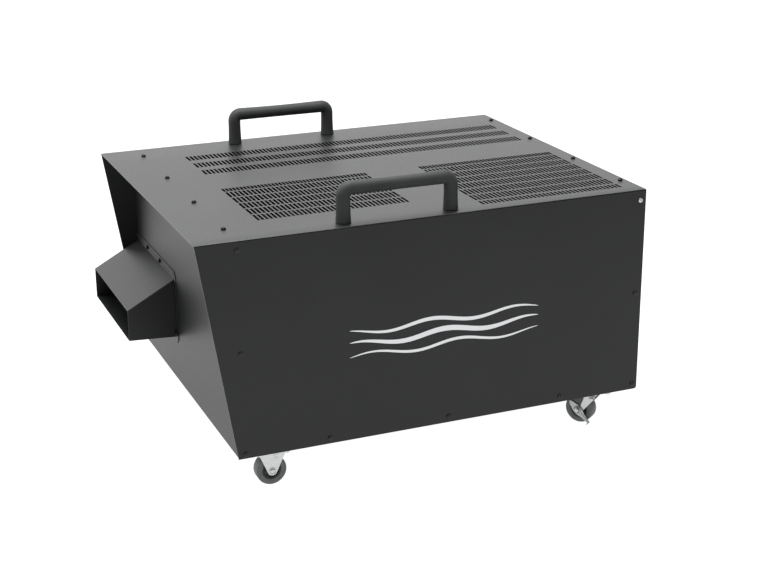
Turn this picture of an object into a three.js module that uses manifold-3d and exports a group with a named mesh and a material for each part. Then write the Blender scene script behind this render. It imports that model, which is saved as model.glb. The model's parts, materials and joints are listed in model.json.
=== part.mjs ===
// A fog cooler on casters: a refrigerated box that chills the fog of a separate fog machine, so that it stays
// low. Millimetres, +Z up. The front, where the cold fog leaves, faces -X. The left side faces -Y.
import * as THREE from "three";
import { mergeVertices } from "three/addons/utils/BufferGeometryUtils.js";
import Module from "manifold-3d";

const wasm = await Module();
wasm.setup();

// ---------------------------------------------------------------- driving dimensions
const LENGTH = 775; // the sides, along their bottom edge
const WIDTH = 652; // over the cover's two sides
const HEIGHT = 385; // the housing, without casters and handles
const OVERHANG = 61; // how far the cover's top reaches past its bottom corner at the front
const SHEET = 1.5; // steel sheet of the cover, panels and base
const GAP = 0.5; // between sheets that touch
const PAST = 1; // how far a cutting solid runs past the face that it cuts
const CASTER_HEIGHT = 71; // floor to the underside of the base
const WHEEL_RADIUS = 27;
const DUCT_REACH = 90; // outlet duct, forward of the front panel's flange
const COLLAR_REACH = 25; // fog inlet collar, behind the cover's rear edge

const BASE_Z = CASTER_HEIGHT;
const TOP_Z = BASE_Z + HEIGHT;
const SIDE_Y = WIDTH / 2;
const FLANGE = 20; // depth of the panels' folded edges
const INNER_Y = SIDE_Y - SHEET - GAP; // outer face of what stands inside the cover
const ON_BASE = BASE_Z + SHEET + GAP; // underside of what stands on the base pan
const FRONT_X = SHEET; // front panel's outer face
const REAR_X = LENGTH - SHEET; // rear panel's outer face
const CENTRE_X = (LENGTH + COLLAR_REACH - DUCT_REACH) / 2;

// The fog's way through the box: the cold tunnel runs from the inlet collar to the outlet duct.
const FOG_Y = 183;
const FOG_Z = 217;
const COLLAR_RADIUS = 50;
const DUCT = {
  halfWidth: 135, sheet: 1.2, rootLow: 160, rootHigh: 274, mouthLow: 165, mouthHigh: 225,
  margin: 11, topMargin: 16, chamfer: 8,
};
const TUNNEL = { x0: 22.5, x1: 752, y0: 40, y1: 322, z0: 73, z1: 312, wall: 12, lid: 12 };

// ---------------------------------------------------------------- materials
const paint = (color, roughness, metalness) =>
  new THREE.MeshStandardMaterial({ color, roughness, metalness });
const MATERIALS = {
  powder_coat: paint(0x2b2d2d, 0.6, 0.2),
  zinc: paint(0xc9cbcb, 0.35, 0.9),
  grip: paint(0x262828, 0.75, 0),
  tyre: paint(0x4c4d4d, 0.85, 0),
  hub: paint(0x17191a, 0.6, 0),
  foam: paint(0x33363a, 0.95, 0),
  fins: paint(0xb9bdc0, 0.4, 0.9),
  copper: paint(0xb4683c, 0.35, 0.9),
  shell: paint(0x101112, 0.4, 0.3),
  plastic: paint(0x1b1c1d, 0.5, 0),
  rubber: paint(0x202122, 0.9, 0),
  black_screw: paint(0x1d1e1f, 0.35, 0.8),
};

// ---------------------------------------------------------------- solids
// A closed geometry as a solid that faces out.
function solid(geometry) {
  const bare = geometry.index ? geometry.toNonIndexed() : geometry;
  const position = bare.getAttribute("position");
  const merged = mergeVertices(new THREE.BufferGeometry().setAttribute("position", position), 1e-4);
  const found = merged.index.array;
  const triangles = [];
  for (let i = 0; i < found.length; i += 3) {
    const [a, b, c] = [found[i], found[i + 1], found[i + 2]];
    if (a !== b && b !== c && a !== c) triangles.push([a, b, c]);
  }
  const build = (rows) =>
    new wasm.Manifold(
      new wasm.Mesh({
        numProp: 3,
        vertProperties: merged.attributes.position.array,
        triVerts: new Uint32Array(rows.flat()),
      }),
    );
  const made = build(triangles);
  return made.volume() < 0 ? build(triangles.map(([a, b, c]) => [a, c, b])) : made;
}

const join = (first, ...others) => others.reduce((whole, piece) => whole.add(piece), first);
const cut = (first, ...others) => others.reduce((whole, piece) => whole.subtract(piece), first);

function geometryOf(made) {
  const mesh = made.getMesh();
  const geometry = new THREE.BufferGeometry();
  geometry.setAttribute("position", new THREE.BufferAttribute(new Float32Array(mesh.vertProperties), 3));
  geometry.setIndex(new THREE.BufferAttribute(new Uint32Array(mesh.triVerts), 1));
  geometry.computeVertexNormals();
  return geometry;
}

function box(x0, x1, y0, y1, z0, z1) {
  const geometry = new THREE.BoxGeometry(x1 - x0, y1 - y0, z1 - z0);
  return solid(geometry.translate((x0 + x1) / 2, (y0 + y1) / 2, (z0 + z1) / 2));
}

const axis = { x: [1, 0, 0], y: [0, 1, 0], z: [0, 0, 1], minusY: [0, -1, 0] };
const basis = (u, v, w) => new THREE.Matrix4().makeBasis(...[u, v, w].map((a) => new THREE.Vector3(...a)));
const TO_XZ = basis(axis.x, axis.z, axis.minusY);
const TO_YZ = basis(axis.y, axis.z, axis.x);
const LATHE_TO_X = new THREE.Matrix4().makeRotationZ(-Math.PI / 2);
const LATHE_TO_Z = new THREE.Matrix4().makeRotationX(Math.PI / 2);

const outline = (points) => new THREE.Shape(points.map(([u, v]) => new THREE.Vector2(u, v)));
const flat = (shape, depth) =>
  new THREE.ExtrudeGeometry(shape, { depth, bevelEnabled: false, curveSegments: 4 });
const alongZ = (shape, z0, z1) => solid(flat(shape, z1 - z0).translate(0, 0, z0));
const alongY = (shape, y0, y1) => solid(flat(shape, y1 - y0).applyMatrix4(TO_XZ).translate(0, y1, 0));
const alongX = (shape, x0, x1) => solid(flat(shape, x1 - x0).applyMatrix4(TO_YZ).translate(x0, 0, 0));

// A turned piece about the Y axis, from (radius, height) points. A profile off the axis is closed on itself.
function turned(profile, sides) {
  const closed = profile[0][0] > 0 ? [...profile, profile[0]] : profile;
  return new THREE.LatheGeometry(closed.map(([r, h]) => new THREE.Vector2(r, h)), sides);
}
const turnedX = (profile, sides, y = 0, z = 0) =>
  solid(turned(profile, sides).applyMatrix4(LATHE_TO_X).translate(0, y, z));
const turnedY = (profile, sides) => solid(turned(profile, sides));
const turnedZ = (profile, sides, x = 0, y = 0) =>
  solid(turned(profile, sides).applyMatrix4(LATHE_TO_Z).translate(x, y, 0));
const rod = (radius, low, high) => [[0, low], [radius, low], [radius, high], [0, high]];
const ring = (inner, outer, low, high) => [[inner, low], [outer, low], [outer, high], [inner, high]];

function roundedRectangle(u0, u1, v0, v1, radius) {
  const shape = new THREE.Shape();
  shape.moveTo(u0 + radius, v0).lineTo(u1 - radius, v0);
  shape.absarc(u1 - radius, v0 + radius, radius, -Math.PI / 2, 0, false);
  shape.absarc(u1 - radius, v1 - radius, radius, 0, Math.PI / 2, false);
  shape.absarc(u0 + radius, v1 - radius, radius, Math.PI / 2, Math.PI, false);
  shape.absarc(u0 + radius, v0 + radius, radius, Math.PI, 1.5 * Math.PI, false);
  return shape;
}

function chamferedRectangle(u0, u1, v0, v1, c) {
  return outline([
    [u0 + c, v0], [u1 - c, v0], [u1, v0 + c], [u1, v1 - c],
    [u1 - c, v1], [u0 + c, v1], [u0, v1 - c], [u0, v0 + c],
  ]);
}

// A round bar along straight runs joined by bends of one radius.
function bent(points, radius, bend, steps, sides) {
  const corners = points.map((p) => new THREE.Vector3(...p));
  const path = new THREE.CurvePath();
  let from = corners[0];
  for (let i = 1; i < corners.length - 1; i += 1) {
    const back = corners[i - 1].clone().sub(corners[i]).normalize().multiplyScalar(bend);
    const on = corners[i + 1].clone().sub(corners[i]).normalize().multiplyScalar(bend);
    const start = corners[i].clone().add(back);
    const end = corners[i].clone().add(on);
    path.add(new THREE.LineCurve3(from, start));
    path.add(new THREE.QuadraticBezierCurve3(start, corners[i], end));
    from = end;
  }
  path.add(new THREE.LineCurve3(from, corners.at(-1)));
  const section = new THREE.Shape();
  section.absarc(0, 0, radius, 0, 2 * Math.PI, false);
  const drawn = new THREE.Shape(section.getPoints(sides / 4).slice(0, -1));
  return solid(new THREE.ExtrudeGeometry(drawn, { steps, extrudePath: path, bevelEnabled: false }));
}

const part = new THREE.Group();
const housing = new THREE.Group();
housing.position.x = -CENTRE_X;
part.add(housing);

function place(name, made, material, group = housing) {
  const mesh = new THREE.Mesh(geometryOf(made), MATERIALS[material]);
  mesh.name = name;
  group.add(mesh);
}

// ---------------------------------------------------------------- screws
// One pan-head screw stands for each kind: where its head sits, and which way it faces.
const SCREW = { head: 4, headHeight: 2.6, crown: 3, standOff: 0.3, shank: 1.7, length: 3.5 };
const SCREWS = {
  cover_screw_left: { at: [390, -SIDE_Y, BASE_Z + 11], facing: axis.minusY },
  cover_screw_right: { at: [390, SIDE_Y, BASE_Z + 11], facing: axis.y },
  cover_screw_top: { at: [LENGTH - 12, 94, TOP_Z], facing: axis.z },
  duct_screw: { at: [0, 144, 282], facing: [-1, 0, 0] },
};

// A turned piece that stands on a face at a point, with its axis along the face's normal.
function standing(profile, sides, { at, facing }) {
  const up = new THREE.Vector3(...axis.y);
  const turn = new THREE.Quaternion().setFromUnitVectors(up, new THREE.Vector3(...facing));
  return solid(turned(profile, sides).applyQuaternion(turn).translate(...at));
}

const screwHole = (name) =>
  standing(rod(SCREW.shank + GAP, -SCREW.length - PAST, PAST), 8, SCREWS[name]);

const screwProfile = [
  [0, -SCREW.length], [SCREW.shank, -SCREW.length],
  [SCREW.shank, SCREW.standOff], [SCREW.head, SCREW.standOff],
  [SCREW.head, SCREW.standOff + SCREW.headHeight / 2], [SCREW.crown, SCREW.standOff + SCREW.headHeight],
  [0, SCREW.standOff + SCREW.headHeight],
];
for (const [name, spot] of Object.entries(SCREWS)) {
  place(name, standing(screwProfile, 12, spot), "black_screw");
}

// ---------------------------------------------------------------- cover
// One folded sheet: the top and both sides. Its front edge leans back from the overhanging top to the base.
const BEND = 2.5;
const REAR_CORNER = 4.5;
const SLOT = { width: 4.8, pitch: 62.4 };
// Each row of slots: its front and rear ends, and its left and right edges.
const COVER_ROWS = [
  ...[89, 144, 199].map((y) => ({ x0: 82, x1: 748, y0: y, y1: y + 32 })),
  ...[0, 1, 2, 3, 4].map((i) => ({ x0: 78, x1: 362, y0: -229.7 + 38.3 * i, y1: -196.7 + 38.3 * i })),
  { x0: 78, x1: 362, y0: -38.2, y1: -18.7 },
  { x0: 465, x1: 748, y0: -297, y1: -276 },
  ...[0, 1, 2, 3, 4, 5].map((i) => ({ x0: 465, x1: 748, y0: -268 + 38.3 * i, y1: -235 + 38.3 * i })),
  { x0: 465, x1: 748, y0: -38.2, y1: -18.7 },
];

function foldedTop() {
  const shape = new THREE.Shape();
  const low = BASE_Z - PAST;
  shape.moveTo(-SIDE_Y, low).lineTo(-SIDE_Y + SHEET, low);
  shape.lineTo(-SIDE_Y + SHEET, TOP_Z - BEND);
  shape.absarc(-SIDE_Y + BEND, TOP_Z - BEND, BEND - SHEET, Math.PI, Math.PI / 2, true);
  shape.absarc(SIDE_Y - BEND, TOP_Z - BEND, BEND - SHEET, Math.PI / 2, 0, true);
  shape.lineTo(SIDE_Y - SHEET, low).lineTo(SIDE_Y, low);
  shape.absarc(SIDE_Y - BEND, TOP_Z - BEND, BEND, 0, Math.PI / 2, false);
  shape.absarc(-SIDE_Y + BEND, TOP_Z - BEND, BEND, Math.PI / 2, Math.PI, false);
  return alongX(shape, -OVERHANG - PAST, LENGTH + PAST);
}

function sideOutline() {
  const shape = new THREE.Shape();
  shape.moveTo(0, BASE_Z).lineTo(LENGTH - REAR_CORNER, BASE_Z);
  shape.absarc(LENGTH - REAR_CORNER, BASE_Z + REAR_CORNER, REAR_CORNER, -Math.PI / 2, 0, false);
  shape.lineTo(LENGTH, TOP_Z + PAST).lineTo(-OVERHANG, TOP_Z + PAST).lineTo(-OVERHANG, TOP_Z);
  return alongY(shape, -SIDE_Y - PAST, SIDE_Y + PAST);
}

// A row of slots as the starts of its slots, from its first slot in equal steps.
function slotStarts(first, last) {
  const starts = [];
  for (let start = first; start + SLOT.width <= last; start += SLOT.pitch) starts.push(start);
  return starts;
}

function cover() {
  const folded = foldedTop().intersect(sideOutline());
  const slots = COVER_ROWS.flatMap((row) =>
    slotStarts(row.x0, row.x1).map((x) =>
      box(x, x + SLOT.width, row.y0, row.y1, TOP_Z - SHEET - PAST, TOP_Z + PAST)));
  const holes = ["cover_screw_left", "cover_screw_right", "cover_screw_top"].map(screwHole);
  return cut(folded, ...slots, ...holes);
}
place("cover", cover(), "powder_coat");

// ---------------------------------------------------------------- base and end panels
const CASTER_INSET = { front: 66.5, rear: 75, side: 38 };
const CASTER_PLACES = {
  front_left: [CASTER_INSET.front, -SIDE_Y + CASTER_INSET.side],
  front_right: [CASTER_INSET.front, SIDE_Y - CASTER_INSET.side],
  rear_left: [LENGTH - CASTER_INSET.rear, -SIDE_Y + CASTER_INSET.side],
  rear_right: [LENGTH - CASTER_INSET.rear, SIDE_Y - CASTER_INSET.side],
};
const DRAIN = { x: 390, radius: 7, wall: 2, low: 57, flange: 6 };

function basePan() {
  const x0 = FRONT_X + SHEET + GAP;
  const x1 = REAR_X - SHEET - GAP;
  const tray = cut(
    box(x0, x1, -INNER_Y, INNER_Y, BASE_Z, BASE_Z + FLANGE),
    box(x0 + SHEET, x1 - SHEET, -INNER_Y + SHEET, INNER_Y - SHEET, BASE_Z + SHEET, BASE_Z + FLANGE + PAST),
  );
  const drainHole = turnedZ(rod(DRAIN.radius + GAP, BASE_Z - PAST, ON_BASE), 16, DRAIN.x, FOG_Y);
  return cut(tray, drainHole, screwHole("cover_screw_left"), screwHole("cover_screw_right"));
}
place("base_pan", basePan(), "powder_coat");

// An end panel: a plate with its top and side edges folded into the box.
function endPanel(face, inward) {
  const low = BASE_Z + FLANGE + GAP;
  const high = TOP_Z - SHEET - GAP;
  const span = (from, to) => [face + inward * from, face + inward * to].sort((a, b) => a - b);
  const tray = cut(
    box(...span(0, FLANGE), -INNER_Y, INNER_Y, low, high),
    box(...span(SHEET, FLANGE + PAST), -INNER_Y + SHEET, INNER_Y - SHEET, low - PAST, high - SHEET),
  );
  return join(tray, box(...span(0, SHEET), -INNER_Y, INNER_Y, BASE_Z, low + PAST));
}

const OUTLET = { y0: FOG_Y - DUCT.halfWidth + 4, y1: FOG_Y + DUCT.halfWidth - 4, z0: 163, z1: 271 };
const frontPanel = cut(
  endPanel(FRONT_X, 1),
  box(FRONT_X - PAST, FRONT_X + SHEET + PAST, OUTLET.y0, OUTLET.y1, OUTLET.z0, OUTLET.z1),
  screwHole("duct_screw"),
);
place("front_panel", frontPanel, "powder_coat");

const INTAKE_ROWS = [0, 1, 2, 3, 4].map((i) => ({ y0: -280, y1: -50, z0: 120 + 40 * i, z1: 153 + 40 * i }));
const CONTROLS = { z: 398, inlet: -80, breaker: -15, rocker: 40 };
const INLET_HOLE = { halfWidth: 14, halfHeight: 10 };
const ROCKER_HOLE = { halfWidth: 14, halfHeight: 10.5 };
const BREAKER_RADIUS = 6;

function rearPanel() {
  const front = REAR_X - SHEET - PAST;
  const behind = REAR_X + PAST;
  const through = (y0, y1, z0, z1) => box(front, behind, y0, y1, z0, z1);
  const around = (y, { halfWidth, halfHeight }) =>
    through(y - halfWidth, y + halfWidth, CONTROLS.z - halfHeight, CONTROLS.z + halfHeight);
  return cut(
    endPanel(REAR_X, -1),
    ...INTAKE_ROWS.flatMap((row) =>
      slotStarts(row.y0, row.y1).map((y) => through(y, y + SLOT.width, row.z0, row.z1))),
    around(CONTROLS.inlet, INLET_HOLE),
    around(CONTROLS.rocker, ROCKER_HOLE),
    turnedX(rod(BREAKER_RADIUS + GAP, front, behind), 16, CONTROLS.breaker, CONTROLS.z),
    turnedX(rod(COLLAR_RADIUS + GAP, front, behind), 24, FOG_Y, FOG_Z),
    screwHole("cover_screw_top"),
  );
}
place("rear_panel", rearPanel(), "powder_coat");

// ---------------------------------------------------------------- fog path
function outletDuct() {
  const { halfWidth, sheet, rootLow, rootHigh, mouthLow, mouthHigh, margin, topMargin, chamfer } = DUCT;
  const y0 = FOG_Y - halfWidth;
  const y1 = FOG_Y + halfWidth;
  const lowSlope = (mouthLow - rootLow) / DUCT_REACH;
  const highSlope = (mouthHigh - rootHigh) / DUCT_REACH;
  const walls = outline([
    [sheet, rootLow], [sheet, rootHigh], [0, rootHigh],
    [-DUCT_REACH, mouthHigh], [-DUCT_REACH, mouthLow], [0, rootLow],
  ]);
  const hollow = outline([
    [sheet + PAST, rootLow + sheet], [sheet + PAST, rootHigh - sheet], [0, rootHigh - sheet],
    [-DUCT_REACH - PAST, mouthHigh - sheet + highSlope * PAST],
    [-DUCT_REACH - PAST, mouthLow + sheet + lowSlope * PAST], [0, rootLow + sheet],
  ]);
  const [low, high] = [rootLow - margin, rootHigh + topMargin];
  const plate = chamferedRectangle(y0 - margin, INNER_Y - GAP, low, high, chamfer);
  const flange = cut(alongX(plate, 0, sheet), screwHole("duct_screw"));
  return cut(join(alongY(walls, y0, y1), flange), alongY(hollow, y0 + sheet, y1 - sheet));
}
place("outlet_duct", outletDuct(), "powder_coat");

const COLLAR = { wall: 1.5, flange: 16, inner: 742 };
const collarFace = REAR_X + GAP;
const collarProfile = [
  [COLLAR_RADIUS - COLLAR.wall, COLLAR.inner], [COLLAR_RADIUS, COLLAR.inner], [COLLAR_RADIUS, collarFace],
  [COLLAR_RADIUS + COLLAR.flange, collarFace], [COLLAR_RADIUS + COLLAR.flange, collarFace + COLLAR.wall],
  [COLLAR_RADIUS, collarFace + COLLAR.wall], [COLLAR_RADIUS, LENGTH + COLLAR_REACH],
  [COLLAR_RADIUS - COLLAR.wall, LENGTH + COLLAR_REACH],
];
place("fog_inlet_collar", turnedX(collarProfile, 24, FOG_Y, FOG_Z), "powder_coat");

const SUCTION_EXIT = { x: 395, z: 240, radius: 5 };
const CAPILLARY_EXIT = { x: 355, z: 120, radius: 2 };

function tunnelTray() {
  const t = TUNNEL;
  const rim = t.z1 - t.lid - GAP;
  const drainHole = rod(DRAIN.radius + GAP, t.z0 - PAST, t.z0 + t.wall + PAST);
  const collarHole = rod(COLLAR_RADIUS + GAP, t.x1 - t.wall - PAST, t.x1 + PAST);
  const tubeHole = (radius) => rod(radius + GAP, t.y0 - PAST, t.y0 + t.wall + PAST);
  return cut(
    box(t.x0, t.x1, t.y0, t.y1, t.z0, rim),
    box(t.x0 + t.wall, t.x1 - t.wall, t.y0 + t.wall, t.y1 - t.wall, t.z0 + t.wall, rim + PAST),
    box(t.x0 - PAST, t.x0 + t.wall + PAST, OUTLET.y0, t.y1 - t.wall - 2, OUTLET.z0, OUTLET.z1),
    turnedX(collarHole, 24, FOG_Y, FOG_Z),
    turnedZ(drainHole, 16, DRAIN.x, FOG_Y),
    ...[SUCTION_EXIT, CAPILLARY_EXIT].map(({ x, z, radius }) =>
      solid(turned(tubeHole(radius), 12).translate(x, 0, z))),
  );
}
place("cold_tunnel_tray", tunnelTray(), "foam");

const lidBox = box(TUNNEL.x0, TUNNEL.x1, TUNNEL.y0, TUNNEL.y1, TUNNEL.z1 - TUNNEL.lid, TUNNEL.z1);
place("cold_tunnel_lid", lidBox, "foam");

const drainSeat = TUNNEL.z0 + TUNNEL.wall + GAP;
const drainProfile = [
  [DRAIN.radius - DRAIN.wall, DRAIN.low], [DRAIN.radius, DRAIN.low], [DRAIN.radius, drainSeat],
  [DRAIN.radius + DRAIN.flange, drainSeat], [DRAIN.radius + DRAIN.flange, drainSeat + DRAIN.wall],
  [DRAIN.radius - DRAIN.wall, drainSeat + DRAIN.wall],
];
place("drain_spigot", turnedZ(drainProfile, 16, DRAIN.x, FOG_Y), "plastic");

// A finned coil is a block with upright grooves between its fins in both faces: (across the block, along it).
const FIN = { pitch: 10, thickness: 5, depth: 8 };
function finOutline(across0, across1, along0, along1) {
  const grooves = Math.round((along1 - along0 - FIN.thickness) / FIN.pitch);
  const pitch = (along1 - along0 - FIN.thickness) / grooves;
  const near = [];
  const far = [];
  for (let i = 0; i <= grooves; i += 1) {
    const start = along0 + pitch * i;
    const end = start + FIN.thickness;
    near.push([across0, start], [across0, end]);
    far.unshift([across1, end], [across1, start]);
    if (i < grooves) {
      near.push([across0 + FIN.depth, end], [across0 + FIN.depth, start + pitch]);
      far.unshift([across1 - FIN.depth, start + pitch], [across1 - FIN.depth, end]);
    }
  }
  return outline([...near, ...far]);
}

const EVAPORATOR = { x0: 345, x1: 405, y0: 60, y1: 302, z0: 92, z1: 292, header: 4 };
const TUBE_END = TUNNEL.y0 + 3; // where the evaporator's tubes end, inside the tunnel's wall
function evaporator() {
  const e = EVAPORATOR;
  const stub = ({ x, z, radius }) =>
    solid(turned(rod(radius, TUBE_END, e.y0 + PAST), 12).translate(x, 0, z));
  const header = box(e.x0, e.x1, e.y0 - e.header, e.y0 + PAST, e.z0, e.z1);
  const fins = alongZ(finOutline(e.x0, e.x1, e.y0, e.y1), e.z0, e.z1);
  return join(fins, header, stub(SUCTION_EXIT), stub(CAPILLARY_EXIT));
}
place("evaporator_coil", evaporator(), "fins");

// ---------------------------------------------------------------- refrigeration set
const CONDENSER = { x0: 706, x1: 748, y0: -292, y1: -38, z0: 95, z1: 335, endPlate: 18, stub: 14, foot: 20 };
const DISCHARGE_ENTRY = { y: -48, z: 318, radius: 4 };
const LIQUID_EXIT = { y: -48, z: 112, radius: 4 };
function condenser() {
  const c = CONDENSER;
  const fins = alongZ(finOutline(c.x0, c.x1, c.y0, c.y1), c.z0, c.z1);
  const stub = ({ y, z, radius }) => turnedX(rod(radius, c.x0 - c.stub, c.x0 + FIN.depth + PAST), 12, y, z);
  const endPlate = box(c.x0, c.x1, c.y1 - c.endPlate, c.y1, c.z0, c.z1);
  const feet = [c.y0 + c.foot, c.y1 - 2 * c.foot].map((y) =>
    box(c.x0 + FIN.depth + PAST, c.x1 - FIN.depth - PAST, y, y + c.foot, ON_BASE, c.z0 + PAST));
  return join(fins, endPlate, ...feet, stub(DISCHARGE_ENTRY), stub(LIQUID_EXIT));
}
place("condenser_coil", condenser(), "fins");

const SHROUD = { y1: -62, sheet: 2, standOff: 18, depth: 20, opening: 104 };
const FAN = { x: 660, y: (CONDENSER.y0 + SHROUD.y1) / 2, z: 215, blade: 98, blades: 5, hub: 26, shaft: 4 };
function fanShroud() {
  const { y1, sheet, opening } = SHROUD;
  const y0 = CONDENSER.y0;
  const back = CONDENSER.x0 - SHROUD.standOff;
  const front = back - SHROUD.depth;
  const plate = box(back - sheet, back, y0, y1, ON_BASE, CONDENSER.z1);
  const foot = box(front, back, y0, y1, ON_BASE, ON_BASE + sheet);
  const webs = [y0, y1 - sheet].map((y) => box(front, back, y, y + sheet, ON_BASE, CONDENSER.z1));
  const hole = turnedX(rod(opening + GAP, back - sheet - PAST, back + PAST), 28, FAN.y, FAN.z);
  const lip = turnedX(ring(opening, opening + sheet, front, back - sheet / 2), 28, FAN.y, FAN.z);
  return join(cut(join(plate, foot, ...webs), hole), lip);
}
place("fan_shroud", fanShroud(), "zinc");

const MOTOR = { x0: 590, x1: 646, radius: 38, round: 4, shaftEnd: 668, foot: 50, footSheet: 3, post: 16 };
function fanMotor() {
  const { x0, x1, radius, round } = MOTOR;
  const middle = (x0 + x1) / 2;
  const profile = [
    [0, x0], [radius - round, x0], [radius, x0 + round],
    [radius, x1 - round], [radius - round, x1], [0, x1],
  ];
  const around = (half, z0, z1, length) =>
    box(middle - length / 2, middle + length / 2, FAN.y - half, FAN.y + half, z0, z1);
  return join(
    turnedX(profile, 24, FAN.y, FAN.z),
    turnedX(rod(FAN.shaft, x1 - round, MOTOR.shaftEnd), 12, FAN.y, FAN.z),
    around(MOTOR.post / 2, ON_BASE, FAN.z, 10),
    around(MOTOR.foot / 2, ON_BASE, ON_BASE + MOTOR.footSheet, MOTOR.foot),
  );
}
place("fan_motor", fanMotor(), "shell");

// A blade is a swept outline, seen along the shaft, cut from a plate that is pitched about its own radius.
const BLADE = { pitch: THREE.MathUtils.degToRad(28), sheet: 2, depth: 60 };
const bladeOutline = outline([
  [-14, 20], [14, 20], [30, 60], [34, FAN.blade - 8], [10, FAN.blade - 2], [-28, FAN.blade - 12], [-22, 60],
]);
const fanHubProfile = [
  [FAN.shaft + GAP, FAN.x - 10], [FAN.hub, FAN.x - 10], [FAN.hub, FAN.x + 12], [FAN.hub - 4, FAN.x + 16],
  [0, FAN.x + 16], [0, FAN.x + 10], [FAN.shaft + GAP, FAN.x + 10],
];
function fanRotor() {
  const sweep = new THREE.CylinderGeometry(FAN.blade, FAN.blade, BLADE.depth, 30);
  const swept = solid(sweep.rotateZ(Math.PI / 2).translate(FAN.x, 0, 0));
  let rotor = turnedX(fanHubProfile, 24);
  for (let i = 0; i < FAN.blades; i += 1) {
    const blade = flat(bladeOutline, BLADE.sheet).translate(0, 0, -BLADE.sheet / 2).applyMatrix4(TO_YZ);
    blade.rotateZ(BLADE.pitch).rotateX((i * 2 * Math.PI) / FAN.blades).translate(FAN.x, 0, 0);
    rotor = rotor.add(solid(blade).intersect(swept));
  }
  return solid(geometryOf(rotor).translate(0, FAN.y, FAN.z));
}
place("fan_rotor", fanRotor(), "plastic");

const COMPRESSOR = { x: 205, y: -150, radius: 86, low: 104, high: 318, seam: 5, port: 16 };
const BRACKET = { halfLength: 102, halfWidth: 76, corner: 14, below: 6, above: 2, footX: 88, footY: 62 };
const SUCTION_PORT = { angle: 0, z: 268 };
const DISCHARGE_PORT = { angle: -Math.PI / 3, z: 150 };
const FEET = [[-1, -1], [1, -1], [1, 1], [-1, 1]].map(([sx, sy]) => [sx * BRACKET.footX, sy * BRACKET.footY]);
const bracketLow = COMPRESSOR.low - BRACKET.below;
const bracketHigh = COMPRESSOR.low + BRACKET.above;
function compressorShell() {
  const { x, y, radius: r, low, high, seam, port } = COMPRESSOR;
  const profile = [
    [0, low], [r * 0.62, low], [r * 0.9, low + 14], [r, low + 44],
    [r, low + 92], [r + seam, low + 94], [r + seam, low + 102], [r, low + 104],
    [r, high - 48], [r * 0.9, high - 18], [r * 0.6, high - 3], [0, high],
  ];
  const { halfLength, halfWidth, corner } = BRACKET;
  const plan = roundedRectangle(x - halfLength, x + halfLength, y - halfWidth, y + halfWidth, corner);
  const holes = FEET.map(([dx, dy]) =>
    turnedZ(rod(7, bracketLow - PAST, bracketHigh + PAST), 12, x + dx, y + dy));
  const stub = ({ angle, z }, radius) => solid(
    turned(rod(radius, r - 8, r + port), 12).rotateZ(-Math.PI / 2).rotateZ(angle).translate(x, y, z));
  const can = join(turnedZ(profile, 20, x, y), alongZ(plan, bracketLow, bracketHigh));
  return join(cut(can, ...holes), stub(SUCTION_PORT, 5), stub(DISCHARGE_PORT, 4));
}
place("compressor_shell", compressorShell(), "shell");

// Each foot is a rubber grommet that stands on the base and holds the bracket in its groove.
const footProfile = [
  [0, ON_BASE], [13, ON_BASE], [13, bracketLow - GAP], [6.5, bracketLow - GAP],
  [6.5, bracketHigh + GAP], [11, bracketHigh + GAP], [9, bracketHigh + 6], [0, bracketHigh + 6],
];
FEET.forEach(([x, y], i) => {
  place(`compressor_foot_${i + 1}`, turnedZ(footProfile, 10, COMPRESSOR.x + x, COMPRESSOR.y + y), "rubber");
});

const TERMINAL = { x0: 168, x1: 242, y0: -286, y1: -222, z0: 170, z1: 250, corner: 8 };
function terminalCover() {
  const { x0, x1, y0, y1, z0, z1, corner } = TERMINAL;
  const { x, y, radius, seam, low } = COMPRESSOR;
  const block = alongY(roundedRectangle(x0, x1, z0, z1, corner), y0, y1);
  const shellRoom = turnedZ(rod(radius + GAP, z0 - PAST, z1 + PAST), 20, x, y);
  const seamRoom = turnedZ(rod(radius + seam + GAP, low + 91, low + 105), 20, x, y);
  return cut(block, shellRoom, seamRoom);
}
place("compressor_terminal_cover", terminalCover(), "plastic");

const polar = ({ angle, z }, radius) =>
  [COMPRESSOR.x + radius * Math.cos(angle), COMPRESSOR.y + radius * Math.sin(angle), z];
const portEnd = COMPRESSOR.radius + COMPRESSOR.port + GAP;
const portBend = portEnd + 30;

// Refrigerant lines: out of the compressor, through the condenser and drier, and back from the evaporator.
const DRIER = { x: 560, y: -15, radius: 11, neck: 3, low: 120, high: 230 };
const condenserEnd = CONDENSER.x0 - CONDENSER.stub - GAP;
const dischargeTurn = polar(DISCHARGE_PORT, portBend);
const dischargeLine = bent([
  polar(DISCHARGE_PORT, portEnd), dischargeTurn, [dischargeTurn[0], dischargeTurn[1], 345],
  [560, -48, 345], [650, -48, 345], [650, DISCHARGE_ENTRY.y, DISCHARGE_ENTRY.z],
  [condenserEnd, DISCHARGE_ENTRY.y, DISCHARGE_ENTRY.z],
], 4, 12, 40, 8);
place("discharge_line", dischargeLine, "copper");

const liquidLine = bent([
  [condenserEnd, LIQUID_EXIT.y, LIQUID_EXIT.z], [640, LIQUID_EXIT.y, LIQUID_EXIT.z],
  [DRIER.x, DRIER.y, 98], [DRIER.x, DRIER.y, DRIER.low - DRIER.neck - GAP],
], 4, 12, 24, 8);
place("liquid_line", liquidLine, "copper");

const drierProfile = [
  [0, DRIER.low - DRIER.neck], [4, DRIER.low - DRIER.neck], [4, DRIER.low],
  [DRIER.radius, DRIER.low + 12], [DRIER.radius, DRIER.high - 12],
  [3, DRIER.high], [3, DRIER.high + DRIER.neck], [0, DRIER.high + DRIER.neck],
];
place("filter_drier", turnedZ(drierProfile, 16, DRIER.x, DRIER.y), "copper");

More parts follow.
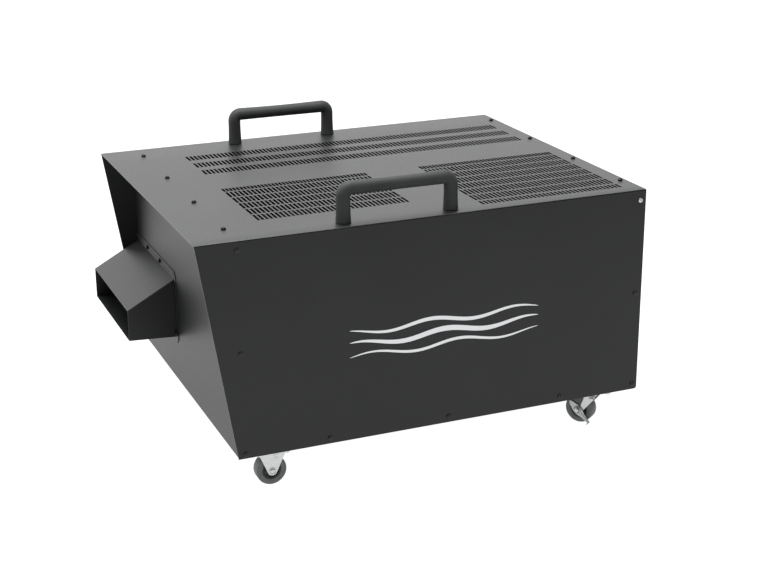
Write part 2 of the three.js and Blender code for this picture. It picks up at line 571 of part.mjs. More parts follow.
const capillaryTube = bent([
  [DRIER.x, DRIER.y, DRIER.high + DRIER.neck + GAP], [DRIER.x, DRIER.y, 262], [470, 8, 262], [400, 8, 150],
  [CAPILLARY_EXIT.x, 8, CAPILLARY_EXIT.z], [CAPILLARY_EXIT.x, TUBE_END - GAP, CAPILLARY_EXIT.z],
], 1.8, 14, 34, 8);
place("capillary_tube", capillaryTube, "copper");

const suctionLine = bent([
  [SUCTION_EXIT.x, TUBE_END - GAP, SUCTION_EXIT.z], [SUCTION_EXIT.x, 0, SUCTION_EXIT.z],
  [SUCTION_EXIT.x, -60, 290], [360, -150, SUCTION_PORT.z],
  [COMPRESSOR.x + portEnd, COMPRESSOR.y, SUCTION_PORT.z],
], 5, 18, 32, 8);
place("suction_line", suctionLine, "copper");

const CAPACITOR = { x: 380, y: -250, radius: 20, high: 162, round: 4 };
const capacitorProfile = [
  [0, ON_BASE], [CAPACITOR.radius, ON_BASE], [CAPACITOR.radius, CAPACITOR.high - CAPACITOR.round],
  [CAPACITOR.radius - CAPACITOR.round, CAPACITOR.high], [0, CAPACITOR.high],
];
place("run_capacitor", turnedZ(capacitorProfile, 24, CAPACITOR.x, CAPACITOR.y), "fins");

// ---------------------------------------------------------------- controls on the rear panel
const outsideRear = REAR_X + GAP;
// A block through the rear panel with a rim outside it and a well in it, about a point on the panel.
function rimmedWell(y, rim, body, well) {
  const z = CONTROLS.z;
  const face = outsideRear + rim.sheet;
  const rimOutline = roundedRectangle(y - rim.halfY, y + rim.halfY, z - rim.halfZ, z + rim.halfZ, rim.corner);
  const block = ({ depth, halfY, halfZ }, high) =>
    box(REAR_X - depth, high, y - halfY, y + halfY, z - halfZ, z + halfZ);
  const whole = join(alongX(rimOutline, outsideRear, face), block(body, outsideRear + PAST));
  return cut(whole, block(well, face + PAST));
}

function powerInlet() {
  const y = CONTROLS.inlet;
  const socket = rimmedWell(
    y,
    { sheet: 3, halfY: 25, halfZ: 12, corner: 4 },
    { depth: 26, halfY: 13.5, halfZ: 9.5 },
    { depth: 16, halfY: 11.5, halfZ: 7 },
  );
  const pins = [[-6.5, -1.5], [0, 2.5], [6.5, -1.5]].map(([dy, dz]) =>
    box(REAR_X - 17, REAR_X - 2, y + dy - 1, y + dy + 1, CONTROLS.z + dz - 2, CONTROLS.z + dz + 2));
  return join(socket, ...pins);
}
place("power_inlet", powerInlet(), "plastic");

const switchFrame = rimmedWell(
  CONTROLS.rocker,
  { sheet: 2, halfY: 16, halfZ: 12.5, corner: 2 },
  { depth: 22, halfY: 13.5, halfZ: 10 },
  { depth: 12, halfY: 11.5, halfZ: 8 },
);
place("power_switch_frame", switchFrame, "plastic");

// The rocker tips about a pivot inside the frame. It rests with its upper half pressed in.
const ROCKER = { pivotX: REAR_X - 2, halfHeight: 7.2, halfWidth: 11, tilt: THREE.MathUtils.degToRad(-9) };
function rocker() {
  const h = ROCKER.halfHeight;
  const profile = outline([[-3, -h * 0.5], [-3, h * 0.5], [3.5, h], [5, h], [3.6, 0], [5, -h], [3.5, -h]]);
  const bar = flat(profile, 2 * ROCKER.halfWidth).applyMatrix4(TO_XZ).translate(0, ROCKER.halfWidth, 0);
  bar.rotateY(ROCKER.tilt).translate(ROCKER.pivotX, CONTROLS.rocker, CONTROLS.z);
  return solid(bar);
}
place("power_switch_rocker", rocker(), "plastic");

const BREAKER = { bore: 3.6, button: 3.1, nut: 9, nutHeight: 4, front: REAR_X - 4, depth: 34, wellDepth: 14 };
const breakerProfile = [
  [BREAKER.bore, BREAKER.front], [BREAKER.bore, outsideRear + BREAKER.nutHeight],
  [BREAKER.nut - 1.5, outsideRear + BREAKER.nutHeight], [BREAKER.nut, outsideRear + 2.5],
  [BREAKER.nut, outsideRear],
  [BREAKER_RADIUS, outsideRear], [BREAKER_RADIUS, BREAKER.front],
];
function breakerBody() {
  const bush = turnedX(breakerProfile, 12, CONTROLS.breaker, CONTROLS.z);
  const { y, z } = { y: CONTROLS.breaker, z: CONTROLS.z };
  const block = box(REAR_X - BREAKER.depth, BREAKER.front + PAST, y - 8, y + 8, z - 14, z + 14);
  const well = turnedX(rod(BREAKER.bore, REAR_X - BREAKER.wellDepth, REAR_X + PAST), 12, y, z);
  return join(cut(block, well), bush);
}
place("breaker_body", breakerBody(), "plastic");

const buttonEnd = outsideRear + BREAKER.nutHeight + 2.5;
const buttonProfile = [
  [0, REAR_X - 8], [BREAKER.button, REAR_X - 8], [BREAKER.button, buttonEnd - 1],
  [BREAKER.button - 0.7, buttonEnd], [0, buttonEnd],
];
place("breaker_button", turnedX(buttonProfile, 12, CONTROLS.breaker, CONTROLS.z), "plastic");

const mainsLoom = bent([
  [REAR_X - BREAKER.depth - GAP, CONTROLS.breaker, CONTROLS.z], [700, CONTROLS.breaker, CONTROLS.z],
  [640, -20, 400],
  [COMPRESSOR.x, -20, 400], [COMPRESSOR.x, -264, 400], [COMPRESSOR.x, -264, TERMINAL.z1 + GAP],
], 4, 16, 44, 8);
place("mains_loom", mainsLoom, "rubber");

// ---------------------------------------------------------------- handles
const HANDLE = { x0: 205, x1: 402, y: SIDE_Y - 28, radius: 11.5, bend: 22, rise: 72, foot: 13.5, flare: 9 };
function handle(y) {
  const top = TOP_Z + HANDLE.rise - HANDLE.radius;
  const low = TOP_Z + GAP;
  const bar = bent([[HANDLE.x0, y, low], [HANDLE.x0, y, top], [HANDLE.x1, y, top], [HANDLE.x1, y, low]],
    HANDLE.radius, HANDLE.bend, 26, 12);
  const flare = [
    [0, low], [HANDLE.foot, low], [HANDLE.foot, low + 2],
    [HANDLE.radius - 1, low + HANDLE.flare], [0, low + HANDLE.flare],
  ];
  return join(bar, ...[HANDLE.x0, HANDLE.x1].map((x) => turnedZ(flare, 16, x, y)));
}
place("handle_left", handle(-HANDLE.y), "grip");
place("handle_right", handle(HANDLE.y), "grip");

// ---------------------------------------------------------------- casters
// Each caster is made about its own upright axis with the floor at z = 0, and its wheel rolls along x.
const CASTER = {
  plate: 60, plateSheet: 2.5, boltCircle: 23, boltHole: 3.2, forkHalf: 26, forkSheet: 2, forkInner: 12.4,
  boss: 8.5, axle: 3, axleBore: 3.3, tyreHalf: 10.5, hubHalf: 11.6, hubRadius: 16.5,
  trail: 18, crownZ: 59.7, raceRadius: 19, kingpin: 5, hexagon: 5.8, headHeight: 3.6, nutHeight: 4,
};
const plateTop = CASTER_HEIGHT - GAP;
const plateLow = plateTop - CASTER.plateSheet;
const forkOuter = CASTER.forkInner + CASTER.forkSheet;

function topPlate() {
  const half = CASTER.plate / 2;
  const plate = alongZ(roundedRectangle(-half, half, -half, half, 6), plateLow, plateTop);
  const corners = [[-1, -1], [1, -1], [1, 1], [-1, 1]];
  const bolt = rod(CASTER.boltHole, plateLow - PAST, plateTop + PAST);
  const holes = corners.map(([sx, sy]) =>
    turnedZ(bolt, 8, sx * CASTER.boltCircle, sy * CASTER.boltCircle));
  return cut(plate, ...holes);
}

// A fork's cheek: straight at the top, narrowing to a round boss about the axle.
function cheek(x0, x1, top, axleX) {
  const shape = new THREE.Shape();
  shape.moveTo(x0, top).lineTo(x0, top - 5);
  shape.absarc(axleX, WHEEL_RADIUS, CASTER.boss, Math.PI * 1.14, Math.PI * 1.86, false);
  shape.lineTo(x1, top - 5).lineTo(x1, top);
  const hole = turnedY(rod(CASTER.axleBore, -forkOuter - PAST, forkOuter + PAST), 12);
  const bore = solid(geometryOf(hole).translate(axleX, 0, WHEEL_RADIUS));
  return [-1, 1].map((side) => {
    const faces = [side * CASTER.forkInner, side * forkOuter].sort((a, b) => a - b);
    return cut(alongY(shape, ...faces), bore);
  });
}

function rigidFork() {
  return join(topPlate(), ...cheek(-CASTER.forkHalf, CASTER.forkHalf, plateLow + PAST, 0));
}

function swivelFork() {
  const { crownZ, forkSheet, kingpin, trail } = CASTER;
  const crown = alongZ(roundedRectangle(-17, 21, -forkOuter, forkOuter, 5), crownZ - forkSheet, crownZ);
  const bore = turnedZ(rod(kingpin + GAP, crownZ - forkSheet - PAST, crownZ + PAST), 16);
  return cut(join(crown, ...cheek(-14, trail + 16, crownZ, trail)), bore);
}

const raceLow = CASTER.crownZ + GAP;
const raceProfile = [
  [0, 53], [8, 53], [8, 55.4], [CASTER.kingpin, CASTER.crownZ - CASTER.forkSheet - GAP],
  [CASTER.kingpin, raceLow], [CASTER.raceRadius, raceLow], [CASTER.raceRadius + 1, raceLow + 2],
  [CASTER.raceRadius - 3, plateLow - GAP], [0, plateLow - GAP],
];

const hexagon = [0, 1, 2, 3, 4, 5].map((i) => {
  const angle = (i * Math.PI) / 3;
  return [CASTER.hexagon * Math.cos(angle), CASTER.hexagon * Math.sin(angle)];
});

// The axle bolt with its head on one side and its nut on the other. `spare` makes room for a brake lever.
function axleBolt(axleX, spare) {
  const headFace = -forkOuter - GAP;
  const nutFace = forkOuter + spare + GAP;
  const shank = turnedY(rod(CASTER.axle, headFace - PAST, nutFace + PAST), 12);
  const head = alongY(outline(hexagon), headFace - CASTER.headHeight, headFace);
  const nut = alongY(outline(hexagon), nutFace, nutFace + CASTER.nutHeight);
  return solid(geometryOf(join(shank, head, nut)).translate(axleX, 0, WHEEL_RADIUS));
}

// Half of a hub's section, as (radius, how far in from its end face).
const hubHalfProfile = [[CASTER.axleBore, 0], [7, 0], [8, 3], [13.5, 4.5], [CASTER.hubRadius, 1.6]];
const hubProfile = [
  ...hubHalfProfile.map(([r, inset]) => [r, -CASTER.hubHalf + inset]),
  ...hubHalfProfile.toReversed().map(([r, inset]) => [r, CASTER.hubHalf - inset]),
];
const tyreInner = CASTER.hubRadius + GAP;
const shoulder = WHEEL_RADIUS - 1.6;
const tyreProfile = [
  [tyreInner, -CASTER.tyreHalf + 1], [tyreInner + 1, -CASTER.tyreHalf], [shoulder, -CASTER.tyreHalf],
  [WHEEL_RADIUS, -CASTER.tyreHalf + 1.6], [WHEEL_RADIUS, CASTER.tyreHalf - 1.6],
  [shoulder, CASTER.tyreHalf], [tyreInner + 1, CASTER.tyreHalf], [tyreInner, CASTER.tyreHalf - 1],
];

// A flat bar on the axle, with its foot tab folded outwards. Its lower end is down, which locks the wheel.
const LEVER = { sheet: 1.6, back: -33, front: 22, tab: 10, tabWidth: 6, slope: THREE.MathUtils.degToRad(42) };
const LEVER_ROOM = 2.4; // how much further out a lever's axle nut sits
function brakeLever(axleX) {
  const inner = forkOuter + GAP;
  const { sheet, back, front, tab, tabWidth } = LEVER;
  const shape = outline([
    [back, -3], [-8, -6.5], [8, -6.5], [front - 2, -4], [front, -2],
    [front, 2], [front - 2, 4], [8, 6.5], [-8, 6.5], [back, 3],
  ]);
  const bar = flat(shape, sheet).applyMatrix4(TO_XZ).translate(0, inner + sheet, 0);
  const fold = new THREE.BoxGeometry(sheet, tab, tabWidth).translate(back + sheet / 2, inner + tab / 2, 0);
  const bore = turnedY(rod(CASTER.axleBore, inner - PAST, inner + sheet + PAST), 12);
  const lever = cut(join(solid(bar), solid(fold)), bore);
  return solid(geometryOf(lever).rotateY(-LEVER.slope).translate(axleX, 0, WHEEL_RADIUS));
}

function casterGroup(name, turn) {
  const [x, y] = CASTER_PLACES[name];
  const group = new THREE.Group();
  group.position.set(x, y, 0);
  group.rotation.z = THREE.MathUtils.degToRad(turn);
  housing.add(group);
  return group;
}

function wheel(name, group, axleX) {
  const onAxle = (profile, sides) =>
    solid(geometryOf(turnedY(profile, sides)).translate(axleX, 0, WHEEL_RADIUS));
  place(`${name}_wheel_hub`, onAxle(hubProfile, 18), "hub", group);
  place(`${name}_tyre`, onAxle(tyreProfile, 24), "tyre", group);
}

// How far each rear caster's trail stands turned from straight back.
const SWIVEL_TURN = { rear_left: 125, rear_right: -125 };
for (const name of ["front_left", "front_right"]) {
  const group = casterGroup(name, 0);
  place(`${name}_caster_fork`, rigidFork(), "zinc", group);
  place(`${name}_axle_bolt`, axleBolt(0, 0), "zinc", group);
  wheel(name, group, 0);
}
for (const [name, turn] of Object.entries(SWIVEL_TURN)) {
  place(`${name}_caster_plate`, topPlate(), "zinc", casterGroup(name, 0));
  const group = casterGroup(name, turn);
  place(`${name}_swivel_race`, turnedZ(raceProfile, 20), "zinc", group);
  place(`${name}_caster_fork`, swivelFork(), "zinc", group);
  place(`${name}_axle_bolt`, axleBolt(CASTER.trail, LEVER_ROOM), "zinc", group);
  place(`${name}_brake_lever`, brakeLever(CASTER.trail), "zinc", group);
  wheel(name, group, CASTER.trail);
}

export default part;
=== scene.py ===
"""Looks of a fog cooler on casters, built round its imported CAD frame. The front, with the outlet, faces -X.

Shapes are written in millimetres in the part's own frame, and add_piece() turns them into metres."""
import json
import math

import bpy
import numpy as np
from mathutils import Matrix, Vector
from mathutils.geometry import tessellate_polygon


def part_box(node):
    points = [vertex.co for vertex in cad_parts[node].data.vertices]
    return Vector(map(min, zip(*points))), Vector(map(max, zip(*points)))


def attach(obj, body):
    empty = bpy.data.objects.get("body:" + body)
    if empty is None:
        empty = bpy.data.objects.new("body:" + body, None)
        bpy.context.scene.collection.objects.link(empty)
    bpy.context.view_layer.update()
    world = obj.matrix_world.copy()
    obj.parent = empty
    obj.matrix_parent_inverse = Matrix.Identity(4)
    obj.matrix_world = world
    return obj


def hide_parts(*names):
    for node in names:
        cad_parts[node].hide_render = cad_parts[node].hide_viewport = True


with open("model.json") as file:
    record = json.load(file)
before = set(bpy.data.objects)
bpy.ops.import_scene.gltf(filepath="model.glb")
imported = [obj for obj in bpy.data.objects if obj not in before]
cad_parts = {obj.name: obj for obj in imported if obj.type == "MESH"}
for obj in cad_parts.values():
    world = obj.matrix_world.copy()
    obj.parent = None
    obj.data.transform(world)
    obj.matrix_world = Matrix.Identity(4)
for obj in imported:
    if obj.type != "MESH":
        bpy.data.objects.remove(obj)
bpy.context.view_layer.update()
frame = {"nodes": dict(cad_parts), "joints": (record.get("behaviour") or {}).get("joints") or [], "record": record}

MM = 0.001
IDENTITY = Matrix.Identity(4)


def box_mm(node):
    """A CAD node's lowest and highest corners, in millimetres."""
    low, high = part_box(node)
    return low / MM, high / MM


# ---------------------------------------------------------------- where the frame says things are
SHEET = 1.5  # steel sheet
FOOT_LENGTH = 775  # the cover's sides along their lower edge
_cover_low, _cover_high = box_mm("cover")
NOSE, REAR = _cover_low.x, _cover_high.x
LEFT, RIGHT = _cover_low.y, _cover_high.y
BOTTOM, TOP = _cover_low.z, _cover_high.z
FOOT = REAR - FOOT_LENGTH  # the front end of the cover's lower edge
JOINTS = {joint["name"]: joint for joint in frame["joints"]}


def at(x, y, z):
    """A point counted from the cover's foot: back from its front end, in from the left, up from its edge."""
    return Vector((FOOT + x, LEFT + y, BOTTOM + z))


def axle_frame(joint_name):
    """Axes at an axle's middle: y along the axle, z up and x along the wheel's way of rolling."""
    joint = JOINTS[joint_name]
    y = Vector(joint["axis"]).normalized()
    z = Vector((0, 0, 1))
    x = y.cross(z)
    axes = Matrix((x, y, z)).transposed().to_4x4()
    axes.translation = Vector(joint["pos_m"]) / MM
    return axes


# ---------------------------------------------------------------- materials
class Nodes:
    """A material's node tree, built from its Principled shader back."""

    def __init__(self, name, base, roughness, metallic=0.0, specular=0.5):
        self.material = bpy.data.materials.new(name)
        self.material.use_nodes = True
        self.tree = self.material.node_tree
        self.shader = self.tree.nodes["Principled BSDF"]
        self.shader.inputs["Base Color"].default_value = (*base, 1)
        self.shader.inputs["Roughness"].default_value = roughness
        self.shader.inputs["Metallic"].default_value = metallic
        self.shader.inputs["Specular IOR Level"].default_value = specular
        self.place = self.tree.nodes.new("ShaderNodeTexCoord").outputs["Object"]

    def noise(self, scale, detail=3.0, roughness=0.55, stretch=(1, 1, 1)):
        """Noise with about `scale` features to the metre, drawn out along an axis where stretch is small."""
        mapping = self.tree.nodes.new("ShaderNodeMapping")
        mapping.inputs["Scale"].default_value = stretch
        self.tree.links.new(self.place, mapping.inputs["Vector"])
        node = self.tree.nodes.new("ShaderNodeTexNoise")
        node.inputs["Scale"].default_value = scale
        node.inputs["Detail"].default_value = detail
        node.inputs["Roughness"].default_value = roughness
        self.tree.links.new(mapping.outputs["Vector"], node.inputs["Vector"])
        return node.outputs["Fac"]

    def cells(self, scale):
        """Distance to the nearest of scattered points, about `scale` of them to the metre."""
        node = self.tree.nodes.new("ShaderNodeTexVoronoi")
        node.inputs["Scale"].default_value = scale
        self.tree.links.new(self.place, node.inputs["Vector"])
        return node.outputs["Distance"]

    def spread(self, value, low, high, start=0.3, end=0.7):
        """The value's middle range, start to end, spread from low to high."""
        node = self.tree.nodes.new("ShaderNodeMapRange")
        node.inputs["From Min"].default_value = start
        node.inputs["From Max"].default_value = end
        node.inputs["To Min"].default_value = low
        node.inputs["To Max"].default_value = high
        self.tree.links.new(value, node.inputs["Value"])
        return node.outputs["Result"]

    def vary_colour(self, value, first, second, start=0.3, end=0.7):
        mix = self.tree.nodes.new("ShaderNodeMix")
        mix.data_type = "RGBA"
        mix.inputs["A"].default_value = (*first, 1)
        mix.inputs["B"].default_value = (*second, 1)
        self.tree.links.new(self.spread(value, 0, 1, start, end), mix.inputs["Factor"])
        self.tree.links.new(mix.outputs["Result"], self.shader.inputs["Base Color"])

    def vary_roughness(self, value, low, high):
        self.tree.links.new(self.spread(value, low, high), self.shader.inputs["Roughness"])

    def bump(self, height, strength, depth_mm):
        """Raises the surface by height. A second call adds to the first."""
        node = self.tree.nodes.new("ShaderNodeBump")
        node.inputs["Strength"].default_value = strength
        node.inputs["Distance"].default_value = depth_mm * MM
        self.tree.links.new(height, node.inputs["Height"])
        before = self.shader.inputs["Normal"]
        if before.is_linked:
            self.tree.links.new(before.links[0].from_socket, node.inputs["Normal"])
        self.tree.links.new(node.outputs["Normal"], before)


def tint(base, factor):
    return tuple(channel * factor for channel in base)


def powder_coat(name="powder_coat", base=(0.0068, 0.0073, 0.0073), roughness=0.44, specular=0.33):
    """Fine-textured satin black: a grain under a millimetre, with faint broad clouds of sheen."""
    m = Nodes(name, base, roughness, specular=specular)
    clouds = m.noise(7, detail=4)
    m.vary_colour(clouds, tint(base, 0.86), tint(base, 1.16))
    m.vary_roughness(m.noise(400, detail=4), roughness - 0.03, roughness + 0.03)
    m.bump(m.noise(1100, detail=2), 0.22, 0.12)
    return m.material


def zinc(name="zinc", base=(0.52, 0.53, 0.53)):
    """Bright zinc plate: faint spangles and the fine lines of the rolled strip."""
    m = Nodes(name, base, 0.34, metallic=1.0)
    m.vary_colour(m.cells(260), tint(base, 0.95), tint(base, 1.04), 0.1, 0.6)
    m.vary_roughness(m.noise(240, detail=4), 0.26, 0.38)
    m.bump(m.noise(1500, detail=2, stretch=(1, 1, 0.12)), 0.10, 0.05)
    return m.material


def moulded(name, base, roughness, grain=0.25, specular=0.5):
    """Moulded plastic with a fine spark-eroded grain."""
    m = Nodes(name, base, roughness, specular=specular)
    m.vary_colour(m.noise(40, detail=3), tint(base, 0.9), tint(base, 1.12))
    m.vary_roughness(m.noise(300, detail=3), roughness - 0.05, roughness + 0.06)
    m.bump(m.noise(2200, detail=1), grain, 0.08)
    return m.material


def rubbery(name, base, roughness=0.72):
    """Rubber with dust in its pores and lighter scuffs."""
    m = Nodes(name, base, roughness, specular=0.35)
    m.vary_colour(m.noise(220, detail=6, roughness=0.7), tint(base, 0.8), tint(base, 1.28))
    m.vary_roughness(m.noise(90), roughness - 0.08, roughness + 0.1)
    m.bump(m.noise(1800, detail=2), 0.3, 0.08)
    return m.material


def bare_metal(name, base, roughness, scale=300, stretch=(1, 1, 1)):
    m = Nodes(name, base, roughness, metallic=1.0)
    m.vary_colour(m.noise(30, detail=5), tint(base, 0.82), tint(base, 1.06))
    m.vary_roughness(m.noise(scale, detail=3, stretch=stretch), roughness - 0.08, roughness + 0.12)
    m.bump(m.noise(scale * 4, detail=2, stretch=stretch), 0.08, 0.05)
    return m.material


def enamel(name, base):
    """Gloss enamel with the orange peel of a sprayed coat."""
    m = Nodes(name, base, 0.3)
    m.vary_roughness(m.noise(60), 0.24, 0.38)
    m.bump(m.noise(320, detail=2), 0.15, 0.1)
    return m.material


def insulation(name, base):
    """Closed-cell board: small cells with thin walls."""
    m = Nodes(name, base, 0.9, specular=0.2)
    m.vary_colour(m.cells(600), tint(base, 0.7), tint(base, 1.25), 0.1, 0.6)
    m.bump(m.cells(600), 0.5, 0.3)
    return m.material


def silver_ink(name="silver_ink", base=(0.62, 0.63, 0.64)):
    """Screen-printed silver: metal flakes in a flat binder."""
    m = Nodes(name, base, 0.42, metallic=0.75)
    m.vary_colour(m.cells(2500), tint(base, 0.85), tint(base, 1.1), 0.1, 0.6)
    m.vary_roughness(m.noise(900), 0.36, 0.5)
    return m.material


COAT = powder_coat()
# a lighter coat on the sheet's rims: a painted highlight along its edges
EDGE_HIGHLIGHT = powder_coat("powder_coat_edge_highlight", (0.06, 0.062, 0.062), 0.4, 0.5)
ZINC = zinc()
# a dark zinc that paints shade onto the rear fork cheeks beside the brake lever
SHADED_ZINC = zinc("zinc_painted_shade", (0.07, 0.071, 0.073))
LEVER_ZINC = zinc("zinc_lever", (0.36, 0.365, 0.365))
GRIP = moulded("handle_black", (0.03, 0.031, 0.031), 0.55, specular=0.12)
TYRE = rubbery("tyre_grey", (0.105, 0.11, 0.11), 0.62)
HUB = moulded("hub_black", (0.012, 0.013, 0.013), 0.5)
FOAM = insulation("insulation", (0.007, 0.0075, 0.008))
FINS = bare_metal("aluminium_fins", (0.62, 0.63, 0.64), 0.35, stretch=(1, 1, 0.1))
COPPER = bare_metal("copper", (0.72, 0.36, 0.20), 0.3)
SHELL = enamel("compressor_enamel", (0.012, 0.012, 0.013))
PLASTIC = moulded("black_plastic", (0.016, 0.016, 0.017), 0.42)
RUBBER = rubbery("black_rubber", (0.02, 0.02, 0.021))
INK = silver_ink()
BLACK_SCREW = moulded("black_screw", (0.004, 0.004, 0.0042), 0.34, grain=0.08, specular=0.14)
SIDE_SCREW = bare_metal("dark_zinc_screw", (0.05, 0.05, 0.052), 0.4, scale=700)
# a near-black coat that paints shade into the slots' walls
SHADED_SLOT_WALL = moulded("powder_coat_shaded", (0.002, 0.0022, 0.0022), 0.6, specular=0.08)

SLOT_MATERIALS = {
    "powder_coat": COAT,
    "zinc": ZINC,
    "grip": GRIP,
    "tyre": TYRE,
    "hub": HUB,
    "foam": FOAM,
    "fins": FINS,
    "copper": COPPER,
    "shell": SHELL,
    "plastic": PLASTIC,
    "rubber": RUBBER,
    "black_screw": BLACK_SCREW,
}


# ---------------------------------------------------------------- mesh building
SHARP_ANGLE = 32  # edges that turn further than this, in degrees, stay sharp


class Shape:
    """Vertices in millimetres and faces, gathered from closed pieces."""

    def __init__(self):
        self.verts = []
        self.faces = []
        self.materials = []

    def add(self, verts, faces, matrix=IDENTITY, material=0):
        start = len(self.verts)
        self.verts.extend(matrix @ Vector(v) for v in verts)
        mirrored = matrix.to_3x3().determinant() < 0
        for face in faces:
            row = [start + i for i in face]
            self.faces.append(row[::-1] if mirrored else row)
            self.materials.append(material)
        return self


def bevel(piece, width_mm):
    """Rounds a piece's edges and keeps its flat faces flat to the light."""
    modifier = piece.modifiers.new("edges", "BEVEL")
    modifier.width = width_mm * MM
    modifier.segments = 2
    modifier.limit_method = "ANGLE"
    modifier.angle_limit = math.radians(35)
    shading = piece.modifiers.new("shading", "WEIGHTED_NORMAL")
    shading.keep_sharp = True


def add_piece(name, shape, materials, body="housing", replaces=(), smooth=SHARP_ANGLE,
              round_off=0.0):
    """Makes a mesh object in metres from a shape, gives it its looks and lets it ride on its body."""
    mesh = bpy.data.meshes.new(name)
    mesh.from_pydata([v * MM for v in shape.verts], [], shape.faces)
    for material in materials:
        mesh.materials.append(material)
    mesh.polygons.foreach_set("material_index", shape.materials)
    mesh.validate()
    mesh.shade_smooth()
    mesh.set_sharp_from_angle(angle=math.radians(smooth))
    piece = bpy.data.objects.new(name, mesh)
    bpy.context.scene.collection.objects.link(piece)
    if round_off:
        bevel(piece, round_off)
    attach(piece, body)
    if replaces:
        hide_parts(*replaces)
    return piece


def arc(centre, radius, start, end, steps):
    """Points round an arc in a plane, from start to end in degrees."""
    angles = np.radians(np.linspace(start, end, steps + 1))
    return [(centre[0] + radius * math.cos(a), centre[1] + radius * math.sin(a)) for a in angles]


def rounded_rectangle(u0, u1, v0, v1, radius, steps=6):
    corners = [(u1 - radius, v0 + radius, -90), (u1 - radius, v1 - radius, 0),
               (u0 + radius, v1 - radius, 90), (u0 + radius, v0 + radius, 180)]
    return [p for u, v, a in corners for p in arc((u, v), radius, a, a + 90, steps)]


def circle(centre, radius, steps=24):
    return arc(centre, radius, 0, 360, steps)[:-1]


def slab(outline, low, high, holes=()):
    """A flat outline with holes, from z = low to z = high. Outlines run anticlockwise."""
    loops = [list(outline), *[list(hole) for hole in holes]]
    flat = [p for loop in loops for p in loop]
    triangles = tessellate_polygon([[Vector((*p, 0)) for p in loop] for loop in loops])
    count = len(flat)
    verts = [(u, v, low) for u, v in flat] + [(u, v, high) for u, v in flat]
    faces = []
    for triangle in triangles:
        a, b, c = (Vector(flat[i]) for i in triangle)
        upward = (b - a).cross(c - a) > 0
        top = list(triangle) if upward else list(triangle)[::-1]
        faces.append([i + count for i in top])
        faces.append(top[::-1])
    start = 0
    for number, loop in enumerate(loops):
        size = len(loop)
        area = sum(p[0] * q[1] - q[0] * p[1] for p, q in zip(loop, loop[1:] + loop[:1]))
        outward = (area > 0) == (number == 0)
        for i in range(size):
            a, b = start + i, start + (i + 1) % size
            side = [a, b, b + count, a + count]
            faces.append(side if outward else side[::-1])
        start += size
    return verts, faces


def lathe(profile, sides=48):
    """A turned piece about the y axis from (radius, y) points. It is closed on the axis or on itself."""
    ring = len(profile)
    verts = []
    for k in range(sides):
        angle = 2 * math.pi * k / sides
        verts.extend((r * math.sin(angle), y, r * math.cos(angle)) for r, y in profile)
    faces = []
    closed = profile[0][0] > 0
    last = ring if closed else ring - 1
    for k in range(sides):
        here, there = k * ring, (k + 1) % sides * ring
        for i in range(last):
            j = (i + 1) % ring
            face = [here + i, there + i, there + j, here + j]
            if profile[i][0] == 0:
                face = [here + i, there + j, here + j]
            elif profile[j][0] == 0:
                face = [here + i, there + i, here + j]
            faces.append(face)
    return weld(verts, faces)


def ring_walls(loops):
    """A closed band through loops of one length, the last one joined to the first."""
    count = len(loops[0])
    verts = [p for loop in loops for p in loop]
    faces = []
    for i in range(len(loops)):
        j = (i + 1) % len(loops)
        for k in range(count):
            m = (k + 1) % count
            faces.append([i * count + k, i * count + m, j * count + m, j * count + k])
    return verts, faces


def weld(verts, faces):
    """Joins vertices at one place, and drops what collapses."""
    keys = {}
    index = []
    kept = []
    for v in verts:
        key = tuple(round(c, 5) for c in v)
        if key not in keys:
            keys[key] = len(kept)
            kept.append(v)
        index.append(keys[key])
    joined = []
    for face in faces:
        row = [index[i] for i in face]
        row = [a for a, b in zip(row, row[-1:] + row[:-1]) if a != b]
        if len(row) > 2:
            joined.append(row)
    return kept, joined


def tube(points, radii, sides):
    """A round bar along a list of points, with flat ends."""
    points = [Vector(p) for p in points]
    verts = []
    side = None
    for i, p in enumerate(points):
        before = points[max(i - 1, 0)]
        after = points[min(i + 1, len(points) - 1)]
        along = (after - before).normalized()
        side = side or along.orthogonal()
        side = (side - along * side.dot(along)).normalized()
        other = along.cross(side)
        for k in range(sides):
            angle = 2 * math.pi * k / sides
            verts.append(p + radii[i] * (math.cos(angle) * side + math.sin(angle) * other))
    faces = []
    for i in range(len(points) - 1):
        for k in range(sides):
            a, b = i * sides + k, i * sides + (k + 1) % sides
            faces.append([a, b, b + sides, a + sides])
    faces.append(list(range(sides))[::-1])
    faces.append([(len(points) - 1) * sides + k for k in range(sides)])
    return verts, faces


def grid(rows):
    """A sheet of quads through rows of points, all rows of one length."""
    across = len(rows[0])
    verts = [p for row in rows for p in row]
    faces = []
    for i in range(len(rows) - 1):
        for k in range(across - 1):
            a = i * across + k
            faces.append([a, a + 1, a + across + 1, a + across])
    return verts, faces


def thicken(piece, thickness, rim_material=0):
    """Gives an open sheet its thickness, on the side away from its normals, with its edges sharp."""
    modifier = piece.modifiers.new("sheet", "SOLIDIFY")
    modifier.thickness = thickness * MM
    modifier.offset = -1
    modifier.use_even_offset = True
    modifier.material_offset_rim = rim_material
    shown = piece.evaluated_get(bpy.context.evaluated_depsgraph_get())
    piece.data = bpy.data.meshes.new_from_object(shown)
    piece.modifiers.clear()
    piece.data.set_sharp_from_angle(angle=math.radians(SHARP_ANGLE))


def placed(origin, x, y, z):
    """A matrix with these axes at this origin."""
    axes = Matrix((Vector(x), Vector(y), Vector(z))).transposed().to_4x4()
    axes.translation = Vector(origin)
    return axes


# Frames for flat work: local z comes out of the face.
def facing_left(origin):
    return placed(origin, (1, 0, 0), (0, 0, 1), (0, -1, 0))


def facing_right(origin):
    return placed(origin, (-1, 0, 0), (0, 0, 1), (0, 1, 0))


def facing_front(origin):
    return placed(origin, (0, -1, 0), (0, 0, 1), (-1, 0, 0))


def facing_rear(origin):
    return placed(origin, (0, 1, 0), (0, 0, 1), (1, 0, 0))


def facing_up(origin):
    return placed(origin, (1, 0, 0), (0, 1, 0), (0, 0, 1))


# A turned piece's y axis laid along a local z axis.
UPRIGHT = Matrix.Rotation(math.radians(90), 4, "X")


